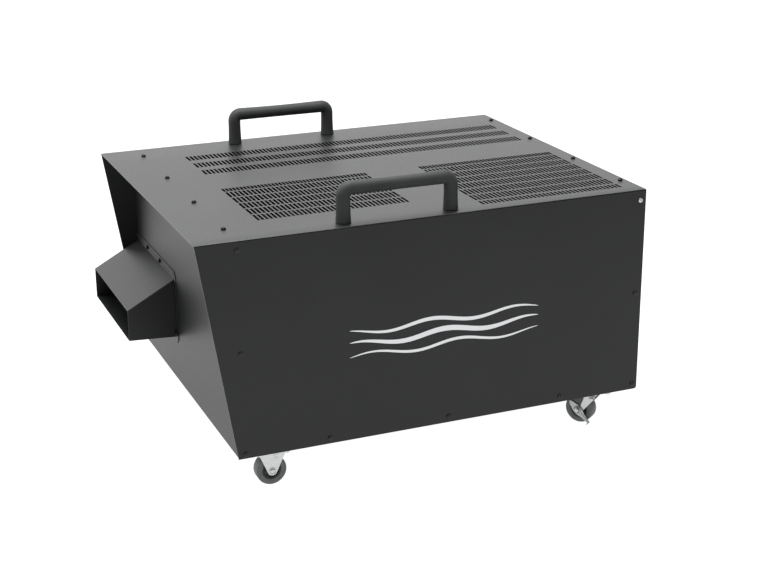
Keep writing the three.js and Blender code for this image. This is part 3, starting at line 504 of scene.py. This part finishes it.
# ---------------------------------------------------------------- cover
BEND = 2.5  # radius of the folds between the top and the sides
REAR_CORNER = 4.5  # radius of each side's rear lower corner
SLOT_WIDTH = 4.8
PITCH = 7.8  # from one slot to the next
SHORT_PITCH = 6.68  # the same in the last row of each near block
ROW_STEP = 38.3  # from one row of the near blocks to the next
ROW_DEPTH = 33  # the slots' length, in each kind of row
FAR_ROW_DEPTH = 32
SHORT_ROW_DEPTH = 19.5


def slot_rows():
    """Every row of slots in the top: (first x, last x, low y, high y, pitch), from the foot and the left."""
    rows = [(82, 748, y, y + FAR_ROW_DEPTH, PITCH) for y in (415, 470, 525)]
    lows = [58 + ROW_STEP * i for i in range(7)]
    rows += [(78, 362, low, low + ROW_DEPTH, PITCH) for low in lows[1:6]]
    rows += [(465, 748, low, low + ROW_DEPTH, PITCH) for low in lows[:6]]
    last = lows[6] + SHORT_ROW_DEPTH
    rows += [(78, 362, lows[6], last, SHORT_PITCH), (465, 748, lows[6], last, SHORT_PITCH)]
    rows.append((465, 748, 30, 51, PITCH))
    return rows


def slots_of(row):
    """The slots of one row, each as (first x, last x, low y, high y)."""
    first, last, low, high, pitch = row
    starts = np.arange(first, last - SLOT_WIDTH + 0.01, pitch)
    return [(start, start + SLOT_WIDTH, low, high) for start in starts]


def lines(values):
    """Values in order, with no two alike."""
    return sorted({round(v, 3) for v in values})


def cover_path(y_lines):
    """The cover's section, (y, z) from the left foot over the top, with its y lines, to the right foot."""
    half = (RIGHT - LEFT) / 2
    side = [BOTTOM, BOTTOM + REAR_CORNER, (BOTTOM + TOP) / 2, TOP - BEND]
    left = [(-half, z) for z in side]
    left += arc((-half + BEND, TOP - BEND), BEND, 180, 90, 5)[1:]
    right = [(-y, z) for y, z in reversed(left)]
    return left + [(y, TOP) for y in y_lines] + right


def cover_point(x, y, z):
    """Leans a point of the upright section back, so that the front edge runs from the nose to the foot."""
    front = NOSE + (FOOT - NOSE) * (TOP - z) / (TOP - BOTTOM)
    along = (x - NOSE) / (REAR - NOSE)
    moved = front + along * (REAR - front)
    over = moved - (REAR - REAR_CORNER)
    if z == BOTTOM and over > 0:
        z += REAR_CORNER - math.sqrt(max(REAR_CORNER ** 2 - over ** 2, 0))
    return moved, y, z


def cover():
    """The folded sheet as one grid whose lines pass the slots' edges, with the slots left open."""
    slots = [slot for row in slot_rows() for slot in slots_of(row)]
    corner = [REAR - REAR_CORNER * (1 - math.sin(math.radians(a))) for a in (0, 22.5, 45, 67.5, 90)]
    x_lines = lines([NOSE, *corner] + [FOOT + x for slot in slots for x in slot[:2]])
    y_lines = lines([LEFT + y for slot in slots for y in slot[2:]])
    path = cover_path(y_lines)
    verts = [cover_point(x, y, z) for y, z in path for x in x_lines]
    column = {x: i for i, x in enumerate(x_lines)}
    line = {y: i for i, (y, z) in enumerate(path) if z == TOP}
    holes = set()
    for x0, x1, y0, y1 in slots:
        columns = range(column[round(FOOT + x0, 3)], column[round(FOOT + x1, 3)])
        rows = range(line[round(LEFT + y0, 3)], line[round(LEFT + y1, 3)])
        holes.update((i, j) for i in rows for j in columns)
    across = len(x_lines)
    faces = []
    for i in range(len(path) - 1):
        for j in range(across - 1):
            if (i, j) not in holes:
                a = i * across + j
                faces.append([a, a + 1, a + across + 1, a + across])
    shape = Shape().add(verts, faces)
    piece = add_piece("cover_shell", shape, [COAT, EDGE_HIGHLIGHT, SHADED_SLOT_WALL], replaces=["cover"])
    # the rims take material 1, the painted edge highlight
    thicken(piece, SHEET, rim_material=1)
    for face in piece.data.polygons:
        x, _, z = face.center / MM
        if TOP - 2 < z < TOP - 0.3 and NOSE + 2 < x < REAR - 2:
            face.material_index = 2  # painted shade: the walls of the slots and the underside round them, darker than the coat


cover()


# ---------------------------------------------------------------- screws
HEAD_RADIUS = 4.3
HEAD_HEIGHT = 2.7
RECESS_FLOOR = 1.2
TALL_HEAD = 1.4  # the top's and the duct's screws are this many times as tall


def pan_head():
    """A pan-head screw's head with its cross recess, standing on z = 0."""
    dome = [(0, HEAD_HEIGHT), (2.0, HEAD_HEIGHT - 0.08), (3.2, HEAD_HEIGHT - 0.34), (4.0, HEAD_HEIGHT - 0.8),
            (HEAD_RADIUS, HEAD_HEIGHT - 1.5), (HEAD_RADIUS, 0.02), (0, 0.02)]
    turned = lathe([(r, -z) for r, z in dome][::-1], 28)
    head = Shape().add(*turned, UPRIGHT @ Matrix.Scale(-1, 4, (0, 1, 0)))
    cutter = Shape()
    arm, half = 2.0, 0.45
    for turn in (0, 90):
        spin = Matrix.Rotation(math.radians(turn), 4, "Z")
        bar = slab([(-arm, -half), (arm, -half), (arm, half), (-arm, half)], RECESS_FLOOR, HEAD_HEIGHT + 1)
        cutter.add(*bar, spin)
    return carved(head, cutter)


def carved(body, cutter):
    """The body less the cutter, as vertices and faces."""
    objects = []
    for shape in (body, cutter):
        mesh = bpy.data.meshes.new("scratch")
        mesh.from_pydata(shape.verts, [], shape.faces)
        mesh.validate()
        scratch = bpy.data.objects.new("scratch", mesh)
        bpy.context.scene.collection.objects.link(scratch)
        objects.append(scratch)
    modifier = objects[0].modifiers.new("cut", "BOOLEAN")
    modifier.object = objects[1]
    modifier.operation = "DIFFERENCE"
    modifier.solver = "EXACT"
    modifier.use_self = True
    result = objects[0].evaluated_get(bpy.context.evaluated_depsgraph_get()).to_mesh()
    verts = [tuple(v.co) for v in result.vertices]
    faces = [list(p.vertices) for p in result.polygons]
    for scratch in objects:
        bpy.data.objects.remove(scratch)
    return verts, faces


PAN_HEAD = pan_head()


def screws(name, places, material=BLACK_SCREW, scale=1.0, tall=1.0, replaces=()):
    """Pan heads at (origin, facing) places, each turned a little differently."""
    size = Matrix.Diagonal((scale, scale, scale * tall, 1))
    shape = Shape()
    for number, (origin, facing) in enumerate(places):
        spin = Matrix.Rotation(math.radians(37 * number % 90), 4, "Z")
        shape.add(*PAN_HEAD, facing(origin) @ spin @ size)
    return add_piece(name, shape, [material], replaces=replaces, smooth=28)


def cover_screws():
    """Screws along the top's ends and round each side. The left side's upper rear one is bright."""
    width = RIGHT - LEFT
    height = TOP - BOTTOM
    top = [(at(x, y, height), facing_up) for x in (10, 763) for y in (70, 244, 420, 595)]
    edge = [(10.5, 369), (10.5, 190), (13.2, 7.8), (165, 10), (390, 11), (613.5, 11), (766, 10), (763, 190)]
    upper_rear = (763, 366)
    left = [(at(x, 0, z), facing_left) for x, z in edge]
    right = [(at(x, width, z), facing_right) for x, z in [*edge, upper_rear]]
    bright = [(at(upper_rear[0], 0, upper_rear[1]), facing_left)]
    screws("cover_screws_top", top, tall=TALL_HEAD, replaces=["cover_screw_top"])
    screws("cover_screws_side", left + right, SIDE_SCREW, replaces=["cover_screw_left", "cover_screw_right"])
    screws("cover_screw_bright", bright, ZINC)


cover_screws()


# ---------------------------------------------------------------- outlet duct
FLANGE_SHEET = 1.2
duct_low, duct_high = box_mm("outlet_duct")
DUCT_MOUTH = duct_low.x
FLANGE_FACE = duct_high.x - FLANGE_SHEET
FLANGE_MARGIN = 11  # from the duct's side to the flange's edge
DUCT_WIDTH = 270
ROOT = (BOTTOM + 89, BOTTOM + 203)  # the duct's floor and roof at its flange
MOUTH = (BOTTOM + 94, BOTTOM + 154)  # and at its open end


def duct_loop(x, low, high, inset):
    """One ring of the duct's section at x, in from its outer face."""
    y0 = duct_low.y + FLANGE_MARGIN + inset
    y1 = y0 + DUCT_WIDTH - 2 * inset
    return [(x, y, z) for y, z in rounded_rectangle(y0, y1, low + inset, high - inset, 1.6 - inset, 3)]


def duct():
    """The tapering duct and its flange, whose corners are cut off on the near side."""
    ends = ((DUCT_MOUTH, *MOUTH), (FLANGE_FACE, *ROOT))
    outer = [duct_loop(x, low, high, 0) for x, low, high in ends]
    inner = [duct_loop(x, low, high, FLANGE_SHEET) for x, low, high in ends]
    shape = Shape().add(*ring_walls([outer[0], outer[1], inner[1], inner[0]]))
    add_piece("duct_walls", shape, [COAT], round_off=0.25)
    chamfer = 9
    y0 = duct_low.y + FLANGE_MARGIN
    y1 = y0 + DUCT_WIDTH
    u0, u1 = duct_low.y, duct_high.y
    v0, v1 = duct_low.z, duct_high.z
    outline = [(u0 + chamfer, v0), (u1 - 2, v0), (u1, v0 + 2), (u1, v1 - 2), (u1 - 2, v1),
               (u0 + chamfer, v1), (u0, v1 - chamfer), (u0, v0 + chamfer)]
    opening = [(y0 + 2, ROOT[0] + 2), (y1 - 2, ROOT[0] + 2), (y1 - 2, ROOT[1] - 2), (y0 + 2, ROOT[1] - 2)]
    to_yz = placed((0, 0, 0), (0, 1, 0), (0, 0, 1), (1, 0, 0))
    flange = Shape().add(*slab(outline, FLANGE_FACE, FLANGE_FACE + FLANGE_SHEET, [opening]), to_yz)
    add_piece("duct_flange", flange, [COAT], replaces=["outlet_duct"], round_off=0.3)


duct()


def duct_screws():
    top = [(Vector((FLANGE_FACE, LEFT + y, duct_high.z - 8)), facing_front) for y in (470, 561)]
    low = [(Vector((FLANGE_FACE, LEFT + y, duct_low.z + 5.5)), facing_front) for y in (470, 561)]
    side = [(Vector((FLANGE_FACE, duct_low.y + 5.5, BOTTOM + z)), facing_front) for z in (193, 98)]
    screws("duct_screws", top + low + side, tall=TALL_HEAD, replaces=["duct_screw"])


duct_screws()


# ---------------------------------------------------------------- rear panel
panel_low, panel_high = box_mm("rear_panel")
INTAKE_ROWS = [(-280, -50, 120 + 40 * i, 153 + 40 * i) for i in range(5)]  # first y, last y, low z, high z
COLLAR_HOLE = 50.5
BREAKER_HOLE = 6.5


def middle(node):
    low, high = box_mm(node)
    return (low + high) / 2


def centred(point, half_width, half_height, radius):
    """A rounded rectangle in (y, z) about a point."""
    return rounded_rectangle(point.y - half_width, point.y + half_width,
                             point.z - half_height, point.z + half_height, radius, 3)


def rear_panel():
    """The rear sheet with its intake slots and its holes, and the flanges folded forward from its edges."""
    face = panel_high.x
    holes = []
    for y0, y1, z0, z1 in INTAKE_ROWS:
        for y in np.arange(y0, y1, PITCH):
            holes.append([(y, z0), (y + SLOT_WIDTH, z0), (y + SLOT_WIDTH, z1), (y, z1)])
    collar = middle("fog_inlet_collar")
    breaker = middle("breaker_body")
    holes.append(circle((collar.y, collar.z), COLLAR_HOLE, 64))
    holes.append(circle((breaker.y, breaker.z), BREAKER_HOLE, 20))
    holes.append(centred(middle("power_inlet"), 14, 10, 1))
    holes.append(centred(middle("power_switch_frame"), 14, 10.5, 1))
    outline = [(panel_low.y, panel_low.z), (panel_high.y, panel_low.z),
               (panel_high.y, panel_high.z), (panel_low.y, panel_high.z)]
    to_yz = placed((0, 0, 0), (0, 1, 0), (0, 0, 1), (1, 0, 0))
    shape = Shape().add(*slab(outline, face - SHEET, face, holes), to_yz)
    flange = 20
    top = [(panel_low.y, panel_high.z - SHEET), (panel_high.y, panel_high.z - SHEET),
           (panel_high.y, panel_high.z), (panel_low.y, panel_high.z)]
    shape.add(*slab(top, face - flange, face - SHEET), to_yz)
    for y in (panel_low.y, panel_high.y - SHEET):
        side = [(y, panel_low.z + flange + SHEET), (y + SHEET, panel_low.z + flange + SHEET),
                (y + SHEET, panel_high.z - SHEET), (y, panel_high.z - SHEET)]
        shape.add(*slab(side, face - flange, face - SHEET), to_yz)
    add_piece("rear_grille_panel", shape, [COAT], replaces=["rear_panel"])


rear_panel()


def fog_collar():
    """The turned collar of the fog inlet, its four screws, and the two that hold the power inlet."""
    low, high = box_mm("fog_inlet_collar")
    centre = (low + high) / 2
    radius, wall = 50, 1.5
    flange_face = panel_high.x + 0.5
    flange_radius = (high.y - low.y) / 2
    profile = [(radius - wall, low.x), (radius, low.x), (radius, flange_face),
               (flange_radius - 0.5, flange_face), (flange_radius, flange_face + 0.5),
               (flange_radius - 0.4, flange_face + wall),
               (radius + 2, flange_face + wall), (radius + 0.4, flange_face + wall + 0.5),
               (radius, flange_face + wall + 2), (radius, high.x - 0.5), (radius - 0.5, high.x),
               (radius - wall + 0.3, high.x), (radius - wall, high.x - 0.3)]
    along_x = placed((0, centre.y, centre.z), (0, 1, 0), (1, 0, 0), (0, 0, -1))
    shape = Shape().add(*lathe(profile, 96), along_x)
    add_piece("inlet_collar", shape, [COAT], replaces=["fog_inlet_collar"])
    reach = flange_radius - 8
    places = []
    for angle in (45, 135, 225, 315):
        a = math.radians(angle)
        origin = Vector((flange_face + wall, centre.y + reach * math.cos(a), centre.z + reach * math.sin(a)))
        places.append((origin, facing_rear))
    inlet = middle("power_inlet")
    inlet_face = box_mm("power_inlet")[1].x
    places += [(Vector((inlet_face, inlet.y + side * 19.5, inlet.z)), facing_rear) for side in (-1, 1)]
    screws("rear_screws", places, scale=0.8)


fog_collar()


# ---------------------------------------------------------------- handles
def handle(name):
    """A moulded bow: feet that flare, round bends, and a grip a little thinner at its middle."""
    low, high = box_mm(name)
    y = (low.y + high.y) / 2
    foot_radius = (high.y - low.y) / 2
    radius = 12
    bend = 12.6
    x0, x1 = low.x + foot_radius, high.x - foot_radius
    top = high.z - radius
    rises = (0, 0.7, 4, 12, 30)
    flare = [foot_radius - 0.9, foot_radius - 0.2, 13, 12.5, radius]
    sag, thinning = 0.5, 0.7
    path = [(x0, y, low.z + rise) for rise in rises]
    path += [(x, y, z) for x, z in arc((x0 + bend, top - bend), bend, 180, 90, 12)]
    radii = flare + [radius] * (len(path) - len(flare))
    for part in np.linspace(0, 1, 11)[1:-1]:
        waist = math.sin(math.pi * part)
        path.append((x0 + bend + part * (x1 - x0 - 2 * bend), y, top - sag * waist))
        radii.append(radius - thinning * waist)
    path += [(x, y, z) for x, z in arc((x1 - bend, top - bend), bend, 90, 0, 12)]
    path += [(x1, y, z) for x, y, z in path[:len(rises)][::-1]]
    radii += [radius] * (len(path) - len(radii) - len(flare)) + flare[::-1]
    shape = Shape().add(*tube(path, radii, 40))
    add_piece(f"{name}_grip", shape, [GRIP], replaces=[name], smooth=45)


handle("handle_left")
handle("handle_right")


# ---------------------------------------------------------------- casters
WHEEL = 27.0  # the wheels' radius
FORK_INNER = 12.4  # half the gap between a fork's cheeks
FORK_SHEET = 2.0
FORK_OUTER = FORK_INNER + FORK_SHEET
TRAIL = 18  # from a rear caster's upright axis to its axle
BOSS = 8.5  # radius of a cheek's round lower end
FORK_SHOULDER = 6  # below the fork's crown, where its cheeks stop widening
SHADE_FROM = 0.44  # the part of a rear cheek's width from which it is painted dark as shade
REST_SLOPE = -42  # a brake lever's, in degrees
PLATE_TOP = 70.5 - WHEEL  # heights at a caster count from its axle
PLATE_LOW = PLATE_TOP - 2.5
CROWN = 59.7 - WHEEL  # the top of a rear fork


def cheek_edge(x, height):
    """Gives the cheek's edge at each height over the axle: round the boss, then straight to (x, height)."""
    reach = math.hypot(x, height)
    angle = math.atan2(height, abs(x)) - math.acos(BOSS / reach)
    tangent = Vector((BOSS * math.cos(angle), BOSS * math.sin(angle)))

    def edge(z):
        if z <= tangent.y:
            return math.copysign(math.sqrt(max(BOSS ** 2 - z ** 2, 0)), x)
        if z >= height:
            return x
        part = (z - tangent.y) / (height - tangent.y)
        return math.copysign(tangent.x + part * (abs(x) - tangent.x), x)

    return edge


def pressed_fork(left, right, top, bend=3.2):
    """The outer face of a fork pressed from one strip: a cheek, the web over the wheel, the other cheek."""
    shoulder = top - FORK_SHOULDER
    edges = [cheek_edge(left, shoulder), cheek_edge(right, shoulder)]
    heights = [-BOSS * math.cos(math.radians(a)) for a in range(0, 91, 10)]
    heights += list(np.linspace(0, top - bend, 10)[1:])
    outer = FORK_OUTER
    path = [(-outer, z) for z in heights]
    path += arc((-outer + bend, top - bend), bend, 180, 90, 10)[1:]
    path += [(-y, z) for y, z in reversed(path)]
    rows = []
    for y, z in path:
        x0, x1 = edges[0](z), edges[1](z)
        rows.append([(x0 + (x1 - x0) * k / 12, y, z) for k in range(13)])
    verts, faces = grid(rows)
    return weld(verts, faces)


def hexagon(across_flats):
    radius = across_flats / math.sqrt(3)
    corners = [math.radians(a) for a in range(30, 390, 60)]
    return [(radius * math.cos(a), radius * math.sin(a)) for a in corners]


def mounting_plate(shape, axes):
    """A 60 mm plate with four bolts, about the caster's upright axis."""
    half, hole = 30, 23
    corners = [(sx * hole, sy * hole) for sx in (-1, 1) for sy in (-1, 1)]
    holes = [circle(corner, 3.2, 16) for corner in corners]
    shape.add(*slab(rounded_rectangle(-half, half, -half, half, 6), PLATE_LOW, PLATE_TOP, holes), axes)
    for x, y in corners:
        centre = Matrix.Translation((x, y, 0))
        shape.add(*slab(circle((0, 0), 6, 24), PLATE_LOW - 1, PLATE_LOW - 0.02), axes @ centre, 1)
        shape.add(*slab(hexagon(10), PLATE_LOW - 5, PLATE_LOW - 1), axes @ centre, 1)


def rings(shape, axes, y):
    """The raised ring and domed rivet head on a cheek's outer face at y, and a pressed ring above them."""
    side = 1 if y > 0 else -1
    ring = [(5.9, 0), (7.1, 0), (6.9, 0.7), (6.2, 0.7)]
    dome = [(0, 2.6), (2.4, 2.45), (4.0, 1.8), (4.8, 0.7), (4.9, 0), (0, 0)]
    pressed = [(3.2, 0), (4.6, 0), (4.3, 0.5), (3.6, 0.5)]
    above = axes @ Matrix.Translation((7, 0, 27))
    for profile, place in ((ring, axes), (dome, axes), (pressed, above)):
        shape.add(*lathe([(r, y + side * h) for r, h in profile], 32), place)


def wheel(name, axes, body):
    """A flat-faced tyre on a hub with six ribs on each side."""
    shoulder = [(17, 9.8), (17.4, 10.3), (18.2, 10.5), (25.4, 10.5), (26.1, 10.3), (26.7, 9.8), (WHEEL, 9)]
    tyre = [(r, -y) for r, y in shoulder] + shoulder[::-1]
    shape = Shape().add(*lathe(tyre, 72), axes)
    add_piece(f"{name}_tyre_ring", shape, [TYRE], body, [f"{name}_tyre"], smooth=50)
    face = [(3.3, 11.6), (6.6, 11.6), (7.2, 11), (8, 7.6), (13.2, 7.2), (14.6, 9.6), (16.3, 9.8),
            (16.9, 9.2)]
    hub = [(r, -y) for r, y in face] + face[::-1]
    shape = Shape().add(*lathe(hub, 48), axes)
    for k in range(6):
        spoke = Matrix.Rotation(math.radians(60 * k), 4, "Y")
        for side in (-1, 1):
            low, high = sorted((side * 7, side * 9.4))
            rib = slab([(7, -0.9), (14, -0.9), (14, 0.9), (7, 0.9)], low, high)
            shape.add(*rib, axes @ spoke @ UPRIGHT)
    add_piece(f"{name}_hub", shape, [HUB], body, [f"{name}_wheel_hub"], smooth=35)


def front_caster(side):
    """A rigid caster: fork, plate, rivets and wheel."""
    name = f"front_{side}"
    axes = axle_frame(f"{name}_wheel_roll")
    shape = Shape().add(*pressed_fork(-24, 26, PLATE_LOW), axes)
    fork = add_piece(f"{name}_fork", shape, [ZINC])
    thicken(fork, FORK_SHEET)
    plate = Shape()
    mounting_plate(plate, axes)
    for y in (-FORK_OUTER, FORK_OUTER):
        rings(plate, axes, y)
    nodes = [f"{name}_caster_fork", f"{name}_axle_bolt"]
    add_piece(f"{name}_plate_and_rivets", plate, [ZINC, ZINC], replaces=nodes, round_off=0.3)
    wheel(name, axes, f"{name}_wheel")


def rear_caster(side):
    """A swivel caster: its fork, wheel and lever turn about an upright axis under a fixed plate."""
    name = f"rear_{side}"
    axes = axle_frame(f"{name}_wheel_roll")
    body = f"{name}_fork"
    swivel = Vector(JOINTS[f"{name}_swivel"]["pos_m"]) / MM
    upright = Matrix.Translation((swivel.x, swivel.y, axes.translation.z))
    plate = Shape()
    mounting_plate(plate, upright)
    nodes = [f"{name}_caster_plate"]
    add_piece(f"{name}_top_plate", plate, [ZINC, ZINC], replaces=nodes, round_off=0.3)
    race = [(0, CROWN - 6.4), (6, CROWN - 6.4), (7.4, CROWN - 5.6), (7.4, CROWN - 4.4), (5, CROWN - 2.5),
            (5, CROWN + 0.5), (17, CROWN + 0.5), (19, CROWN + 1.2), (20, CROWN + 3), (19, CROWN + 5.4),
            (16.5, PLATE_LOW - 0.5), (0, PLATE_LOW - 0.5)]
    shape = Shape().add(*lathe(race, 48), upright @ UPRIGHT)
    add_piece(f"{name}_ball_race", shape, [ZINC], replaces=[f"{name}_swivel_race"], smooth=30)
    left, right = -14 - TRAIL, 16
    shape = Shape().add(*pressed_fork(left, right, CROWN, bend=8), axes)
    nodes = [f"{name}_caster_fork"]
    fork = add_piece(f"{name}_fork_pressing", shape, [ZINC, SHADED_ZINC], body, nodes)
    thicken(fork, FORK_SHEET)
    to_axle = (Matrix.Scale(MM, 4) @ axes).inverted()
    front, rear = cheek_edge(left, CROWN - FORK_SHOULDER), cheek_edge(right, CROWN - FORK_SHOULDER)
    for face in fork.data.polygons:
        x, y, z = to_axle @ face.center
        part = (x - front(z)) / (rear(z) - front(z))
        if y > 5 and z > -BOSS and part > SHADE_FROM:
            face.material_index = 1  # painted shade: darker where the lever and the box above shade the cheek
    bolt = Shape()
    across_axle = axes @ UPRIGHT
    for low, high in ((-FORK_OUTER - 4, -FORK_OUTER - 0.4), (FORK_OUTER + 2.9, FORK_OUTER + 6.4)):
        bolt.add(*slab(hexagon(8.4), -high, -low), across_axle)
    bolt.add(*slab(circle((0, 0), 2.9), -FORK_OUTER - 7.6, FORK_OUTER + 1), across_axle)
    nodes = [f"{name}_axle_bolt"]
    add_piece(f"{name}_axle_nuts", bolt, [ZINC], body, nodes, round_off=0.5)
    wheel(name, axes, f"{name}_wheel")
    brake(name, axes)


def brake(name, axes):
    """A stamped lever on the axle, its toe folded out. It is drawn level and turned to its rest slope."""
    slope = Matrix.Rotation(math.radians(REST_SLOPE), 4, "Y")
    sheet = 1.6
    inner = FORK_OUTER + 0.5
    face = inner + sheet
    upper = [(-32.8, 2.4), (-25, 3.1), (-16, 4.4), (-11, 6.3), (-6, 8), (0, 8.6), (6, 8), (11, 6), (17, 4.4),
             (21, 2), (21.9, 0.9)]
    outline = [(x, -z) for x, z in upper] + [(x, z) for x, z in reversed(upper)]
    shape = Shape().add(*slab(outline, -face, -inner), axes @ slope @ UPRIGHT)
    collar = [(5.6, face + 0.02), (7.6, face + 0.02), (7.4, face + 1.5), (6.9, face + 1.9),
              (6.3, face + 1.9)]
    shape.add(*lathe(collar, 36), axes)
    rib = [(-30, -0.8), (-9.5, -1.4), (-9.5, 1.4), (-30, 0.8)]
    shape.add(*slab(rib, -face - 0.9, -face - 0.02), axes @ slope @ UPRIGHT)
    toe = rounded_rectangle(-2.8, 2.8, 0, 9.4, 2.2, 4)
    fold = placed((-33, inner, 0), (0, 0, 1), (0, 1, 0), (-1, 0, 0))
    shape.add(*slab(toe, -sheet, 0), axes @ slope @ fold)
    lever = [f"{name}_brake_lever"]
    add_piece(f"{name}_brake", shape, [LEVER_ZINC], f"{name}_brake", lever, round_off=0.4)


for _side in ("left", "right"):
    front_caster(_side)
    rear_caster(_side)


# ---------------------------------------------------------------- side graphic
GRAPHIC = {"x0": 203, "x1": 563, "low": 152, "high": 196}  # from the cover's foot and lower edge


def mist_ribbon(base, phase, thickness):
    """One ribbon of drifting mist: a wave that thins out to both ends."""
    count = 72
    length = GRAPHIC["x1"] - GRAPHIC["x0"]
    upper = []
    lower = []
    for k in range(count + 1):
        part = k / count
        x = GRAPHIC["x0"] + part * length
        wave = 5.5 * math.sin(2 * math.pi * (2.2 * part + phase))
        half = thickness * math.sin(math.pi * part) ** 0.6 / 2 + 0.25
        upper.append((x, base + wave + half))
        lower.append((x, base + wave - half))
    return lower + upper[::-1]


def graphic():
    """Three printed ribbons, one over the other, on the left side."""
    shape = Shape()
    step = (GRAPHIC["high"] - GRAPHIC["low"]) / 2
    ribbons = [(step * i + GRAPHIC["low"], 0.16 * i, thickness) for i, thickness in enumerate((5, 9, 6.5))]
    for base, phase, thickness in ribbons:
        shape.add(*slab(mist_ribbon(base, phase, thickness), 0.03, 0.12), facing_left(at(0, 0, 0)))
    add_piece("side_graphic", shape, [INK])


graphic()


# ---------------------------------------------------------------- CAD nodes that stay
def finish_nodes():
    """Gives every CAD node that still shows its slot's material, smooth round faces and softened edges."""
    slot_of = {part["node"]: part["material_slot"] for part in frame["record"]["subparts"]}
    sharp = {"power_inlet", "power_switch_frame", "power_switch_rocker", "breaker_body",
             "compressor_terminal_cover"}
    for name, node in frame["nodes"].items():
        node.data.materials.clear()
        node.data.materials.append(SLOT_MATERIALS[slot_of[name]])
        if node.hide_render:
            continue
        node.data.shade_smooth()
        node.data.set_sharp_from_angle(angle=math.radians(SHARP_ANGLE))
        if name in sharp:
            bevel(node, 0.5)


finish_nodes()


# ---------------------------------------------------------------- camera, floor and light
CAMERA = {"azimuth": -22.56, "elevation": 19.10, "roll": -0.33, "distance": 2.946, "lens": 72.15}
AIM = Vector((0.0412, 0.0, 0.2315))


def add_camera():
    data = bpy.data.cameras.new("camera")
    data.lens = CAMERA["lens"]
    data.clip_end = 50
    camera = bpy.data.objects.new("camera", data)
    bpy.context.scene.collection.objects.link(camera)
    azimuth, elevation = math.radians(CAMERA["azimuth"]), math.radians(CAMERA["elevation"])
    back = Vector((math.sin(azimuth) * math.cos(elevation), -math.cos(azimuth) * math.cos(elevation),
                   math.sin(elevation)))
    camera.location = AIM + CAMERA["distance"] * back
    look = back.to_track_quat("Z", "Y").to_matrix().to_4x4()
    camera.matrix_world = Matrix.Translation(camera.location) @ look @ Matrix.Rotation(
        math.radians(CAMERA["roll"]), 4, "Z")
    bpy.context.scene.camera = camera


def add_floor():
    """A plain white floor that glows, so that it stays white in shade."""
    m = Nodes("floor_white", (0.12, 0.12, 0.12), 0.8, specular=0.1)
    m.shader.inputs["Emission Color"].default_value = (1, 1, 1, 1)
    m.shader.inputs["Emission Strength"].default_value = 1.0
    size = 30
    mesh = bpy.data.meshes.new("floor")
    corners = [(-size, -size, 0), (size, -size, 0), (size, size, 0), (-size, size, 0)]
    mesh.from_pydata(corners, [], [(0, 1, 2, 3)])
    mesh.materials.append(m.material)
    floor = bpy.data.objects.new("floor", mesh)
    bpy.context.scene.collection.objects.link(floor)


def add_light(name, position, power, size):
    data = bpy.data.lights.new(name, "AREA")
    data.energy = power
    data.shape = "RECTANGLE"
    data.size, data.size_y = size
    light = bpy.data.objects.new(name, data)
    bpy.context.scene.collection.objects.link(light)
    light.location = position
    aim = Vector((0, 0, 0.25)) - Vector(position)
    light.rotation_euler = aim.to_track_quat("-Z", "Y").to_euler()


def add_world():
    world = bpy.data.worlds.new("studio")
    world.use_nodes = True
    background = world.node_tree.nodes["Background"]
    background.inputs["Color"].default_value = (1, 1, 1, 1)
    background.inputs["Strength"].default_value = 0.5
    bpy.context.scene.world = world
    bpy.context.scene.view_settings.view_transform = "Standard"


add_camera()
add_floor()
add_world()
add_light("overhead", (-0.2, 0.2, 3.3), 260, (2.6, 2.0))
add_light("key_front_left", (-3.2, 1.6, 2.6), 95, (2.4, 2.4))
add_light("sweep_behind", (1.0, 4.2, 2.0), 86, (7.0, 2.4))
add_light("sweep_left", (-2.4, 3.4, 0.9), 25, (2.4, 1.4))
